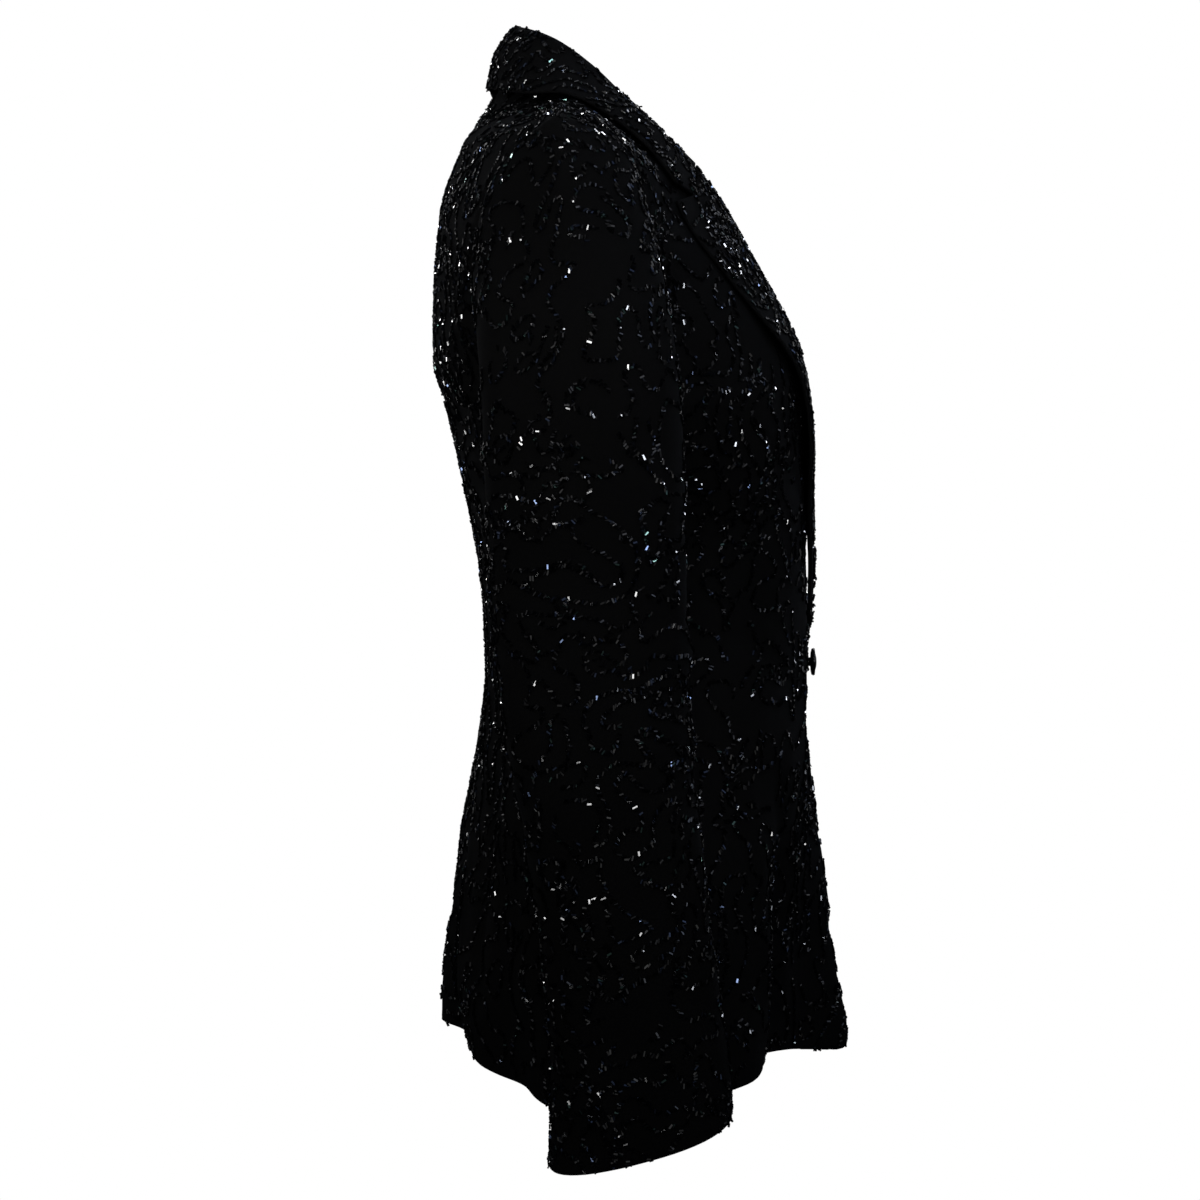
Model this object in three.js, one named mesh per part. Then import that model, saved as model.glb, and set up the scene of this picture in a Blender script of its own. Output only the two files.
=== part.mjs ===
// A woman's tailored blazer, hollow, in the pose in which it is worn.
// Millimetres, +Z up. X runs across the wearer, -X on the wearer's right, and the front faces -Y.
// The origin lies midway between the two points where the shoulder seams meet the neckline.
import * as THREE from "three";

// Cloth
const WALL = 2;
const LAPEL_WALL = 2.2;
const SEAM = 0.3;
const LAP = 20;
const LAP_CLEARANCE = 3.4;

// Shape of the armhole, from the shoulder point forwards and down to the underarm and up the back
const ARMHOLE = [
  { turn: 0, x: 196, y: 11, z: -23 },
  { turn: 25, x: 187, y: -14, z: -33 },
  { turn: 50, x: 177, y: -31, z: -50 },
  { turn: 75, x: 170, y: -38, z: -75 },
  { turn: 100, x: 165, y: -39.5, z: -108 },
  { turn: 130, x: 163, y: -36, z: -150 },
  { turn: 155, x: 163, y: -19, z: -182 },
  { turn: 180, x: 165, y: 4, z: -195 },
  { turn: 205, x: 166, y: 28, z: -190 },
  { turn: 230, x: 166, y: 49, z: -165 },
  { turn: 260, x: 168, y: 60, z: -120 },
  { turn: 290, x: 174, y: 58, z: -82 },
  { turn: 315, x: 181, y: 48, z: -56 },
  { turn: 340, x: 190, y: 30, z: -36 },
  { turn: 360, x: 196, y: 11, z: -23 },
];

// Side seam below the underarm: half the garment's width at each level
const SIDE_SEAM = [
  { z: -609, x: 186, y: -12 },
  { z: -545, x: 183, y: -10 },
  { z: -466, x: 173, y: -6 },
  { z: -400, x: 154, y: -3 },
  { z: -350, x: 142, y: 0 },
  { z: -300, x: 142, y: 2 },
  { z: -250, x: 151, y: 3 },
  { z: -195, x: 165, y: 4 },
];

// Sections of the front from hem to shoulder: where each leaves the centre, roll line or neck seam,
// the armhole turn that it ends at (none below the underarm), and the arc between the two
const FRONT = [
  { x: -LAP, y: -137, z: -611, side: -609, start: 0, swing: 90, full: 2.3, lift: 13 },
  { x: -LAP, y: -138, z: -545, side: -545, start: 0, swing: 90, full: 2.3, lift: 5 },
  { x: -LAP, y: -142, z: -466, side: -466, start: 0, swing: 90, full: 2.3, lift: 0 },
  { x: -LAP, y: -143, z: -400, side: -400, start: 0, swing: 90, full: 2.3, lift: 0 },
  { x: -LAP, y: -143, z: -350, side: -350, start: 0, swing: 90, full: 2.3, lift: 0 },
  { x: 0, y: -142.5, z: -297, side: -300, start: 0, swing: 90, full: 2.35, lift: 0 },
  { x: 7, y: -142.5, z: -246, side: -250, start: 0, swing: 90, full: 2.45, lift: 0 },
  { x: 20, y: -139.5, z: -193, turn: 180, start: 0, swing: 90, full: 2.45, lift: 0 },
  { x: 33, y: -132, z: -152, turn: 148, start: 0, swing: 74, full: 2.3, lift: 0 },
  { x: 42, y: -109, z: -108, turn: 118, start: 8, swing: 56, full: 2.2, lift: 0 },
  { x: 52, y: -87, z: -68, turn: 88, start: 18, swing: 36, full: 2, lift: 0 },
  { x: 60, y: -68, z: -44, turn: 65, start: 20, swing: 34, full: 2, lift: 0 },
  { x: 67, y: -40, z: -29, turn: 44, start: 18, swing: 30, full: 2, lift: 0 },
  { x: 70, y: -20, z: -14, turn: 22, start: 10, swing: 22, full: 2, lift: 0 },
  { x: 70, y: 0, z: 0, turn: 0, start: 5, swing: 15, full: 2, lift: 0 },
];

// Sections of the back from hem to the last one under the shoulder
const BACK = [
  { y: 75, z: -590, side: -609, start: 0, swing: 90, full: 2.3, lift: 6 },
  { y: 77, z: -545, side: -545, start: 0, swing: 90, full: 2.5, lift: 0 },
  { y: 72, z: -466, side: -466, start: 0, swing: 90, full: 2.4, lift: 0 },
  { y: 63, z: -400, side: -400, start: 0, swing: 90, full: 2.4, lift: 0 },
  { y: 60.5, z: -350, side: -350, start: 0, swing: 90, full: 2.4, lift: 0 },
  { y: 63.5, z: -300, side: -300, start: 0, swing: 90, full: 2.5, lift: 0 },
  { y: 72, z: -250, side: -250, start: 0, swing: 90, full: 2.6, lift: 0 },
  { y: 84, z: -195, turn: 180, start: 0, swing: 90, full: 2.7, lift: 0 },
  { y: 90.5, z: -156, turn: 212, start: 0, swing: 78, full: 2.6, lift: 0 },
  { y: 92, z: -112, turn: 246, start: 0, swing: 62, full: 2.4, lift: 0 },
  { y: 87, z: -68, turn: 280, start: 0, swing: 52, full: 2.2, lift: 0 },
  { y: 78, z: -38, turn: 312, start: 0, swing: 46, full: 2, lift: 0 },
  { y: 66, z: -14, turn: 340, start: 0, swing: 42, full: 2, lift: 0 },
];

// How close to its outer edge a panel is drawn onto the seam line: the larger, the closer
const EDGE_HOLD = 4;

// Collar from the centre back to the notch: neck seam, fold, middle of the fall, and its outer edge
const COLLAR = [
  { seam: [0, 52, 12], fold: [0, 42.6, 48], middle: [0, 53.5, 32.5], edge: [0, 59, 10] },
  { seam: [36, 42, 9.5], fold: [34, 32, 43.5], middle: [41, 44.8, 27], edge: [47, 50, 5] },
  { seam: [60, 21, 4.5], fold: [55, 13, 34], middle: [69, 24, 19], edge: [81, 31, 0] },
  { seam: [70, 0, 0], fold: [67, -9, 17], middle: [89, -2, 8], edge: [109, 6, -3] },
  { seam: [70, -20, -14], fold: [66.5, -30, -3], middle: [94, -26, -6], edge: [119, -20, -17.5] },
  { seam: [67, -40, -29], fold: [64, -50, -21], middle: [95, -51, -27.5], edge: [124, -43, -37] },
  { seam: [60, -68, -44], fold: [60.5, -72, -42], middle: [95, -71.5, -57], edge: [124.5, -59.5, -57.5] },
];
const SHOULDER_STATION = 3;

// Lapel: outer edge from the break point to the tip, and the notch in its top edge
const LAPEL_EDGE = [
  { z: -335, x: -12 },
  { z: -300, x: 14 },
  { z: -258, x: 42 },
  { z: -220, x: 62 },
  { z: -180, x: 80 },
  { z: -143, x: 97 },
  { z: -116, x: 108 },
  { z: -90, x: 120 },
  { z: -71, x: 126 },
];
const NOTCH = { along: 0.64, x: 101, z: -66.8 };
const NOTCH_DEPTH = -70.5;
const GORGE = 3.8;
const ROLL_TOP = -46;
const RIGHT_BREAK = -335;
const LEFT_BREAK = -288;
const LAPEL_GAP = 0.6;
const ROLL_PUFF = { height: 3.2, across: 0.22 };
const EDGE_PUFF = { z: -215, height: 4.5, reach: 55 };
const LAPEL_COLUMNS = 8;
const LAPEL_ROWS = 15;

// Flare folds below the waist: degrees from the centre, width in degrees, height at the hem, start level
const FRONT_FLARES = [
  { turn: 0, width: 8, height: 38, top: -395 },
  { turn: 27, width: 10, height: -13, top: -400 },
  { turn: 50, width: 9, height: 7, top: -370 },
  { turn: 70, width: 9, height: -5, top: -400 },
];
const BACK_FLARES = [
  { turn: 0, width: 8, height: 18, top: -390 },
  { turn: 32, width: 9, height: 3, top: -400 },
  { turn: 55, width: 11, height: -13, top: -400 },
  { turn: 78, width: 8, height: 5, top: -420 },
];
const HEM_LEVEL = -611;
const FLARE_POWER = 1.3;
const FLARE_MOST = 0.93;
const RIDGE_SHIFT = 2.6;
const HIP_HALF = 190;

// Where the two fronts are held apart, and over what height that fades out
const LAP_TOP = -240;
const LAP_FADE = 60;

// Columns and rows of the body panels
const BODY_COLUMNS = 15;
const FRONT_ROWS = 22;
const BACK_ROWS = 21;

// Sleeve rings from the underarm down to the cuff: centre, half thickness, half depth, tilt, and how
// much lower the outer side hangs
const SLEEVE = [
  { x: 213, y: -3.5, z: -215, thick: 44, deep: 58, tilt: 0, hang: 0 },
  { x: 216, y: -5, z: -262, thick: 43, deep: 57.5, tilt: 1, hang: 0 },
  { x: 219, y: -6.5, z: -310, thick: 42, deep: 56.5, tilt: 3, hang: 0 },
  { x: 222, y: -10, z: -360, thick: 41, deep: 54.5, tilt: 6, hang: 0 },
  { x: 225, y: -15.5, z: -408, thick: 39.5, deep: 51.5, tilt: 9, hang: 0 },
  { x: 229, y: -22.5, z: -456, thick: 38, deep: 49.5, tilt: 11, hang: 0 },
  { x: 233, y: -29, z: -508, thick: 37, deep: 49.5, tilt: 12, hang: 1 },
  { x: 237, y: -34.5, z: -560, thick: 36.5, deep: 51.5, tilt: 14, hang: 2 },
  { x: 240, y: -37, z: -613, thick: 36, deep: 56, tilt: 15.5, hang: 5 },
];
const SLEEVE_FULL = 2.15;
const FRONT_SLEEVE_SEAM = 122;
const BACK_SLEEVE_SEAM = -112;
const SLEEVE_GAP = 0.8;
const SLEEVE_RADIUS = 50;
const SLEEVE_ROWS = 12;
const HEAD_ROWS = 7;
const TOP_COLUMNS = 12;
const UNDER_COLUMNS = 7;
// How far the sleeve head runs outwards from the armhole before it falls: crown, front or back, underarm
const HEAD_REACH = [62, 34, 8];
const HEAD_RISE = [6, -8, -6];
const HEAD_FALL = 1.8;

// Collar stand and fall: where they end, the stand's bow, and their columns and rows
const STAND_END = 5.8;
const STAND_TOP = 4.2;
const STAND_BOW = 1.5;
const STAND_COLUMNS = 26;
const STAND_ROWS = 3;
const FALL_COLUMNS = 30;
const FALL_ROWS = [0, 0.1, 0.22, 0.36, 0.5, 0.64, 0.82, 1];

// Button
const BUTTON = { x: 0, z: -358, radius: 9, thick: 4, rim: 1.2, shank: 2.5, shankRadius: 3, sides: 16 };

const CLOTH = { color: 0x0b0b0d, roughness: 0.85, metalness: 0 };
const GLASS = { color: 0x070708, roughness: 0.25, metalness: 0 };

const lerp = THREE.MathUtils.lerp;
const radians = THREE.MathUtils.degToRad;

function smooth(value) {
  const held = THREE.MathUtils.clamp(value, 0, 1);
  return held * held * (3 - 2 * held);
}

// A smooth curve through the given stations
function curve(stations, values) {
  const last = stations.length - 1;
  const slopes = stations.map((_, i) => {
    const before = Math.max(i - 1, 0);
    const after = Math.min(i + 1, last);
    return (values[after] - values[before]) / (stations[after] - stations[before]);
  });
  return (place) => {
    let i = 0;
    while (i < last - 1 && place > stations[i + 1]) {
      i += 1;
    }
    const step = stations[i + 1] - stations[i];
    const f = (place - stations[i]) / step;
    const f2 = f * f;
    const f3 = f2 * f;
    return values[i] * (2 * f3 - 3 * f2 + 1) + values[i + 1] * (3 * f2 - 2 * f3)
      + step * (slopes[i] * (f3 - 2 * f2 + f) + slopes[i + 1] * (f3 - f2));
  };
}

// The same through a table's rows, for the named columns
function columns(table, station, names) {
  const stations = table.map((row, i) => (station ? row[station] : i));
  const curves = names.map((name) => curve(stations, table.map((row) => row[name])));
  return (place) => curves.map((one) => one(place));
}

const armholeAt = columns(ARMHOLE, "turn", ["x", "y", "z"]);
const sideSeamAt = columns(SIDE_SEAM, "z", ["x", "y"]);
const lapelEdgeAt = columns(LAPEL_EDGE, "z", ["x"]);

function armhole(turn) {
  return new THREE.Vector3(...armholeAt((turn + 360) % 360));
}

// One line of the collar table as a curve from notch to notch, 0 at the centre back
function collarLine(name) {
  const half = COLLAR.map((row, i) => ({ station: i, point: row[name] }));
  const other = half.slice(1).map(({ station, point: [x, y, z] }) => ({
    station: -station,
    point: [-x, y, z],
  }));
  const whole = [...other.reverse(), ...half];
  const stations = whole.map((row) => row.station);
  const axes = [0, 1, 2].map((k) => curve(stations, whole.map((row) => row.point[k])));
  return (station) => new THREE.Vector3(...axes.map((one) => one(station)));
}

const neckSeam = collarLine("seam");
const foldLine = collarLine("fold");
const fallMiddle = collarLine("middle");
const fallEdge = collarLine("edge");

function superRadius(angle, full) {
  return (Math.abs(Math.cos(angle)) ** full + Math.abs(Math.sin(angle)) ** full) ** (-1 / full);
}

// Part of a superellipse, as shares of the way across and back
function arcShares(start, swing, full, angle) {
  const reach = (turn) => [
    Math.sin(turn) * superRadius(turn, full),
    Math.cos(turn) * superRadius(turn, full),
  ];
  const [x0, y0] = reach(start);
  const [x1, y1] = reach(swing);
  const [x, y] = reach(angle);
  return [(x - x0) / (x1 - x0), (y0 - y) / (y0 - y1)];
}

function rowEnd(row) {
  if (row.turn !== undefined) {
    return armhole(row.turn);
  }
  return new THREE.Vector3(...sideSeamAt(row.side), row.side);
}

// A point of one section, a share of the way from its inner end to its outer end
function sectionPoint(row, share) {
  const end = rowEnd(row);
  const inner = row.x ?? 0;
  const middle = Math.max(inner, 0);
  const start = radians(row.start);
  const swing = radians(row.swing);
  const first = inner < 0 ? Math.asin(inner / end.x) : start;
  const angle = lerp(first, swing, share);
  const [across, back] = arcShares(start, swing, row.full, angle);
  const lift = row.lift * Math.sin(Math.PI * Math.min(Math.abs(across), 1));
  const z = lerp(row.z, end.z, Math.max(across, 0)) + lift;
  return new THREE.Vector3(lerp(middle, end.x, across), lerp(row.y, end.y, back), z);
}

// The back's top edge: neckline, then shoulder seam
const NECK_SHARE = 0.4;
function backTop(share) {
  if (share <= NECK_SHARE) {
    return neckSeam((share / NECK_SHARE) * SHOULDER_STATION);
  }
  const along = (share - NECK_SHARE) / (1 - NECK_SHARE);
  return sectionPoint(FRONT[FRONT.length - 1], along);
}

// A smooth surface through sections, with height 0 at the first one and 1 at the last
function loft(sections, outerEdge) {
  const stations = sections.map((_, i) => i);
  const last = sections.length - 1;
  const through = (points, place) => new THREE.Vector3(...["x", "y", "z"].map(
    (axis) => curve(stations, points.map((point) => point[axis]))(place),
  ));
  const ends = sections.map((section) => section(1));
  return (share, height) => {
    const place = height * last;
    const point = through(sections.map((section) => section(share)), place);
    const drawn = through(ends, place);
    return point.add(outerEdge(place).sub(drawn).multiplyScalar(share ** EDGE_HOLD));
  };
}

// The outer edge of a panel: the side seam, then the armhole, so that front, back and sleeve share it
function outerEdgeOf(rows, lastTurn) {
  const turns = [...rows.map((row) => row.turn), ...lastTurn];
  const underarm = turns.findIndex((turn) => turn !== undefined);
  const levels = [...rows.slice(0, underarm).map((row) => row.side), armhole(turns[underarm]).z];
  const levelAt = curve(levels.map((_, i) => i), levels);
  const turnAt = curve(turns.slice(underarm).map((_, i) => i + underarm), turns.slice(underarm));
  return (place) => {
    if (place >= underarm) {
      return armhole(turnAt(place));
    }
    const z = levelAt(place);
    return new THREE.Vector3(...sideSeamAt(z), z);
  };
}

const sectionsOf = (rows) => rows.map((row) => (share) => sectionPoint(row, share));
const frontBase = loft(sectionsOf(FRONT), outerEdgeOf(FRONT, []));
const backBase = loft([...sectionsOf(BACK), backTop], outerEdgeOf(BACK, [360]));

const STEP = 1e-3;
function normalOf(surface, share, height) {
  const du = surface(share + STEP, height).sub(surface(share - STEP, height));
  const dv = surface(share, height + STEP).sub(surface(share, height - STEP));
  return du.cross(dv).normalize();
}

// Flares: soft ridges and troughs that grow from the waist to the hem
function flare(rows, point, shift) {
  const degrees = THREE.MathUtils.radToDeg(Math.asin(THREE.MathUtils.clamp(point.x / HIP_HALF, -1, 1)));
  let sum = 0;
  for (const row of rows) {
    const down = (row.top - point.z) / (row.top - HEM_LEVEL);
    const grown = THREE.MathUtils.clamp(down, 0, FLARE_MOST) ** FLARE_POWER;
    const place = row.turn === 0 ? shift : row.turn;
    sum += row.height * grown * Math.exp(-(((degrees - place) / row.width) ** 2));
  }
  return sum;
}

// Right front laps over the left one: the two are held apart where they cross
function lapLift(x, z, over) {
  const across = 1 - smooth((Math.abs(x) - LAP) / (2 * LAP));
  const up = smooth((LAP_TOP - z) / LAP_FADE);
  return (over ? 1 : -1) * LAP_CLEARANCE * across * up;
}

function frontSurface(over) {
  return (share, height) => {
    const point = frontBase(share, height);
    const rise = flare(FRONT_FLARES, point, over ? -RIDGE_SHIFT : RIDGE_SHIFT);
    point.addScaledVector(normalOf(frontBase, share, height), rise);
    point.y -= lapLift(point.x, point.z, over);
    return point;
  };
}

function backSurface(share, height) {
  const point = backBase(share, height);
  const rise = flare(BACK_FLARES, point, 0);
  return point.addScaledVector(normalOf(backBase, share, height).negate(), rise);
}

// A closed wall between an outer face and the same face moved in by the wall's thickness
function wallGeometry(face, inward, shares, heights, thickness, mirrored) {
  const wide = shares.length;
  const tall = heights.length;
  const positions = [];
  for (const layer of [0, 1]) {
    for (const height of heights) {
      for (const share of shares) {
        const point = face(share, height);
        if (layer) {
          point.addScaledVector(inward(share, height), thickness);
        }
        positions.push(mirrored ? -point.x : point.x, point.y, point.z);
      }
    }
  }
  const at = (layer, row, column) => layer * wide * tall + row * wide + column;
  const index = [];
  const quad = (a, b, c, d) => {
    index.push(...(mirrored ? [a, c, b, a, d, c] : [a, b, c, a, c, d]));
  };
  const right = wide - 1;
  const top = tall - 1;
  for (let i = 0; i < top; i += 1) {
    for (let j = 0; j < right; j += 1) {
      quad(at(0, i, j), at(0, i, j + 1), at(0, i + 1, j + 1), at(0, i + 1, j));
      quad(at(1, i, j), at(1, i + 1, j), at(1, i + 1, j + 1), at(1, i, j + 1));
    }
  }
  for (let i = 0; i < top; i += 1) {
    quad(at(0, i, 0), at(0, i + 1, 0), at(1, i + 1, 0), at(1, i, 0));
    quad(at(0, i, right), at(1, i, right), at(1, i + 1, right), at(0, i + 1, right));
  }
  for (let j = 0; j < right; j += 1) {
    quad(at(0, 0, j), at(1, 0, j), at(1, 0, j + 1), at(0, 0, j + 1));
    quad(at(0, top, j), at(0, top, j + 1), at(1, top, j + 1), at(1, top, j));
  }
  const geometry = new THREE.BufferGeometry();
  geometry.setAttribute("position", new THREE.Float32BufferAttribute(positions, 3));
  geometry.setIndex(index);
  return geometry;
}

// Even places from one value to another
function places(from, to, count) {
  return Array.from({ length: count + 1 }, (_, i) => lerp(from, to, i / count));
}

// The place on a surface with a given x and z, found by steps from the middle of the panel
const SEARCH_START = [0.3, 0.5];
const SEARCH_STEPS = 14;
function locate(surface, x, z) {
  let [share, height] = SEARCH_START;
  for (let i = 0; i < SEARCH_STEPS; i += 1) {
    const point = surface(share, height);
    const du = surface(share + STEP, height).sub(point).divideScalar(STEP);
    const dv = surface(share, height + STEP).sub(point).divideScalar(STEP);
    const ex = x - point.x;
    const ez = z - point.z;
    const det = du.x * dv.z - dv.x * du.z;
    share += (ex * dv.z - dv.x * ez) / det;
    height += (du.x * ez - ex * du.z) / det;
  }
  return [share, height];
}

const group = new THREE.Group();

function addPiece(name, geometry, finish) {
  const mesh = new THREE.Mesh(geometry, new THREE.MeshStandardMaterial(finish));
  mesh.name = name;
  group.add(mesh);
  return mesh;
}

// Body panels
const SHOULDER_MITRE = new THREE.Vector3(-0.16, 0, -1).normalize();

function addFront(name, over, mirrored) {
  const surface = frontSurface(over);
  const face = (share, height) => {
    const point = surface(share, height);
    if (share === 1 || height === 1) {
      point.y -= SEAM / 2;
    }
    return point;
  };
  const inward = (share, height) => {
    if (height === 1) {
      return SHOULDER_MITRE.clone();
    }
    return normalOf(surface, share, height).negate();
  };
  const shares = places(0, 1, BODY_COLUMNS);
  const heights = places(0, 1, FRONT_ROWS);
  addPiece(name, wallGeometry(face, inward, shares, heights, WALL, mirrored), CLOTH);
}

function addBack(name, mirrored) {
  const face = (share, height) => {
    const across = 1 - share;
    const point = backSurface(across, height);
    if (across === 1 || (height === 1 && across >= NECK_SHARE)) {
      point.y += SEAM / 2;
    }
    point.x = Math.max(point.x, SEAM / 2);
    return point;
  };
  const inward = (share, height) => {
    const across = 1 - share;
    if (height === 1 && across >= NECK_SHARE) {
      return SHOULDER_MITRE.clone();
    }
    const normal = normalOf(backSurface, across, height);
    return across === 0 ? normal.setX(0).normalize() : normal;
  };
  const shares = places(0, 1, BODY_COLUMNS);
  const heights = places(0, 1, BACK_ROWS);
  addPiece(name, wallGeometry(face, inward, shares, heights, WALL, mirrored), CLOTH);
}

addFront("front_right", true, true);
addFront("front_left", false, false);
addBack("back_right", true);
addBack("back_left", false);

// Lapels: laid on the fronts, standing proud at the roll line and at the bust
function lapelOutline(breakLevel) {
  const start = lapelEdgeAt(breakLevel)[0];
  const rollAt = curve(FRONT.map((row) => row.z), FRONT.map((row) => row.x));
  const tip = LAPEL_EDGE[LAPEL_EDGE.length - 1];
  const roll = (up) => {
    const z = lerp(breakLevel, ROLL_TOP, up);
    return [rollAt(z), z];
  };
  const edge = (up) => {
    const z = lerp(breakLevel, tip.z, up);
    return [up === 0 ? start : lapelEdgeAt(z)[0], z];
  };
  const top = (across) => {
    const from = roll(1);
    const notch = [NOTCH.x, NOTCH.z];
    const along = NOTCH.along;
    const [a, b, f] = across < along
      ? [from, notch, across / along]
      : [notch, [tip.x, tip.z], (across - along) / (1 - along)];
    return [lerp(a[0], b[0], f), lerp(a[1], b[1], f)];
  };
  return (across, up) => [0, 1].map((k) => {
    const sides = lerp(roll(up)[k], edge(up)[k], across);
    const ends = lerp(lerp(roll(0)[k], edge(0)[k], across), top(across)[k], up);
    const corners = lerp(
      lerp(roll(0)[k], edge(0)[k], across),
      lerp(roll(1)[k], edge(1)[k], across),
      up,
    );
    return sides + ends - corners;
  });
}

function addLapel(name, over, mirrored, breakLevel) {
  const panel = frontSurface(over);
  const outline = lapelOutline(breakLevel);
  const seat = (across, up) => {
    const [x, z] = outline(across, up);
    return locate(panel, x, z);
  };
  const face = (across, up) => {
    const [share, height] = seat(across, up);
    const point = panel(Math.max(share, 0), height);
    const roll = Math.sin((Math.PI / 2) * Math.min(across / ROLL_PUFF.across, 1)) * (1 - across);
    const proud = Math.exp(-(((point.z - EDGE_PUFF.z) / EDGE_PUFF.reach) ** 2)) * across;
    const lift = LAPEL_GAP + LAPEL_WALL + ROLL_PUFF.height * roll + EDGE_PUFF.height * proud;
    return point.addScaledVector(normalOf(panel, share, height), lift);
  };
  const inward = (across, up) => normalOf(panel, ...seat(across, up)).negate();
  const shares = places(0, 1, LAPEL_COLUMNS);
  const heights = places(0, 1, LAPEL_ROWS);
  addPiece(name, wallGeometry(face, inward, shares, heights, LAPEL_WALL, mirrored), CLOTH);
}

addLapel("lapel_right", true, true, RIGHT_BREAK);
addLapel("lapel_left", false, false, LEFT_BREAK);

// Collar: a stand that rises from the neck seam, and a fall that turns over at the fold
function stand(share, height) {
  const station = lerp(STAND_END, -STAND_END, share);
  const seam = neckSeam(station);
  const fold = foldLine(station);
  const rise = fold.clone().sub(seam);
  const length = rise.length();
  rise.normalize();
  const bow = STAND_BOW * Math.sin(Math.PI * height);
  const point = seam.addScaledVector(rise, lerp(SEAM, length - STAND_TOP, height));
  const towardsNeck = new THREE.Vector3(-seam.x, -seam.y, 0).normalize();
  return point.addScaledVector(towardsNeck, 2 * SEAM - bow);
}

function fall(share, drop) {
  const last = COLLAR.length - 1;
  const station = lerp(-last, last, share);
  const through = (place) => {
    const points = [foldLine(place), fallMiddle(place), fallEdge(place)];
    return new THREE.Vector3(...["x", "y", "z"].map(
      (axis) => curve([0, 0.5, 1], points.map((point) => point[axis]))(drop),
    ));
  };
  const point = through(station);
  const side = Math.sign(station);
  const near = smooth(Math.abs(station) - last + 1);
  if (near > 0) {
    const notch = new THREE.Vector3(side * NOTCH.x, NOTCH_DEPTH, NOTCH.z + GORGE);
    const [from, to, f] = drop < NOTCH.along
      ? [foldLine(side * last), notch, drop / NOTCH.along]
      : [notch, fallEdge(side * last), (drop - NOTCH.along) / (1 - NOTCH.along)];
    point.add(from.lerp(to, f).sub(through(side * last)).multiplyScalar(near));
  }
  return point;
}

function addSheet(name, surface, shares, heights, thickness) {
  const inward = (share, height) => normalOf(surface, share, height).negate();
  addPiece(name, wallGeometry(surface, inward, shares, heights, thickness, false), CLOTH);
}

addSheet("collar_stand", stand, places(0, 1, STAND_COLUMNS), places(0, 1, STAND_ROWS), WALL);
addSheet("collar_fall", fall, places(0, 1, FALL_COLUMNS), FALL_ROWS, WALL);

// Sleeves
const ringAt = columns([...SLEEVE].reverse(), null, ["x", "y", "z", "thick", "deep", "tilt", "hang"]);
const RINGS = SLEEVE.length - 1;

function ringPoint(theta, place) {
  const [x, y, z, thick, deep, tilt, hang] = ringAt(place);
  const angle = radians(theta);
  const r = superRadius(angle, SLEEVE_FULL);
  const ahead = deep * r * Math.sin(angle);
  const lower = hang * Math.max(Math.cos(angle), 0);
  return new THREE.Vector3(
    x + thick * r * Math.cos(angle),
    y - ahead * Math.cos(radians(tilt)),
    z + ahead * Math.sin(radians(tilt)) - lower,
  );
}

function headValue(values, theta) {
  const away = Math.abs(((theta + 540) % 360) - 180);
  return curve([0, 90, 180], values)(away);
}

function headPoint(theta, share) {
  const start = armhole(theta);
  start.x += SLEEVE_GAP;
  const end = ringPoint(theta, RINGS);
  const leave = new THREE.Vector3(headValue(HEAD_REACH, theta), 0, headValue(HEAD_RISE, theta));
  const fallTo = new THREE.Vector3(0, 0, HEAD_FALL * (end.z - start.z));
  const f = 1 - share;
  const f2 = f * f;
  const f3 = f2 * f;
  return start.multiplyScalar(2 * f3 - 3 * f2 + 1)
    .addScaledVector(leave, f3 - 2 * f2 + f)
    .addScaledVector(end, 3 * f2 - 2 * f3)
    .addScaledVector(fallTo, f3 - f2);
}

function sleevePoint(theta, place) {
  return place <= RINGS ? ringPoint(theta, place) : headPoint(theta, place - RINGS);
}

function addSleevePart(name, from, to, columnCount, mirrored) {
  const gap = THREE.MathUtils.radToDeg(SEAM / 2 / SLEEVE_RADIUS);
  const surface = (share, place) => sleevePoint(lerp(from - gap, to + gap, share), place);
  const inward = (share, place) => normalOf(surface, share, place).negate();
  const shares = places(0, 1, columnCount);
  const rows = [...places(0, RINGS, SLEEVE_ROWS), ...places(RINGS, RINGS + 1, HEAD_ROWS).slice(1)];
  addPiece(name, wallGeometry(surface, inward, shares, rows, WALL, mirrored), CLOTH);
}

for (const [side, mirrored] of [["right", true], ["left", false]]) {
  const front = FRONT_SLEEVE_SEAM;
  const back = BACK_SLEEVE_SEAM;
  addSleevePart(`sleeve_top_${side}`, front, back, TOP_COLUMNS, mirrored);
  addSleevePart(`sleeve_under_${side}`, 360 + back, front, UNDER_COLUMNS, mirrored);
}

// Button, with its shank against the right front
const rightFront = frontSurface(true);
const buttonSeat = rightFront(...locate(rightFront, BUTTON.x, BUTTON.z));
const buttonTop = BUTTON.shank + BUTTON.thick;
const buttonProfile = [
  [0, 0],
  [BUTTON.shankRadius, 0],
  [BUTTON.shankRadius, BUTTON.shank],
  [BUTTON.radius - BUTTON.rim, BUTTON.shank],
  [BUTTON.radius, BUTTON.shank + BUTTON.rim],
  [BUTTON.radius, buttonTop - BUTTON.rim],
  [BUTTON.radius - BUTTON.rim, buttonTop],
  [0, buttonTop],
].map(([radius, height]) => new THREE.Vector2(radius, height));
const button = addPiece("button", new THREE.LatheGeometry(buttonProfile, BUTTON.sides), GLASS);
button.position.set(-buttonSeat.x, buttonSeat.y - SEAM, buttonSeat.z);
button.rotation.x = Math.PI;

export default group;
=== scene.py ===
"""A woman's black tailored blazer, beaded all over: thin cloth shells, bead lines and a button.

Shapes are worked out in millimetres from short tables and written to Blender in metres. X runs across
the wearer, -X on the wearer's right, and the front faces -Y. The origin lies between the neck points.
"""
import math

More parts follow.
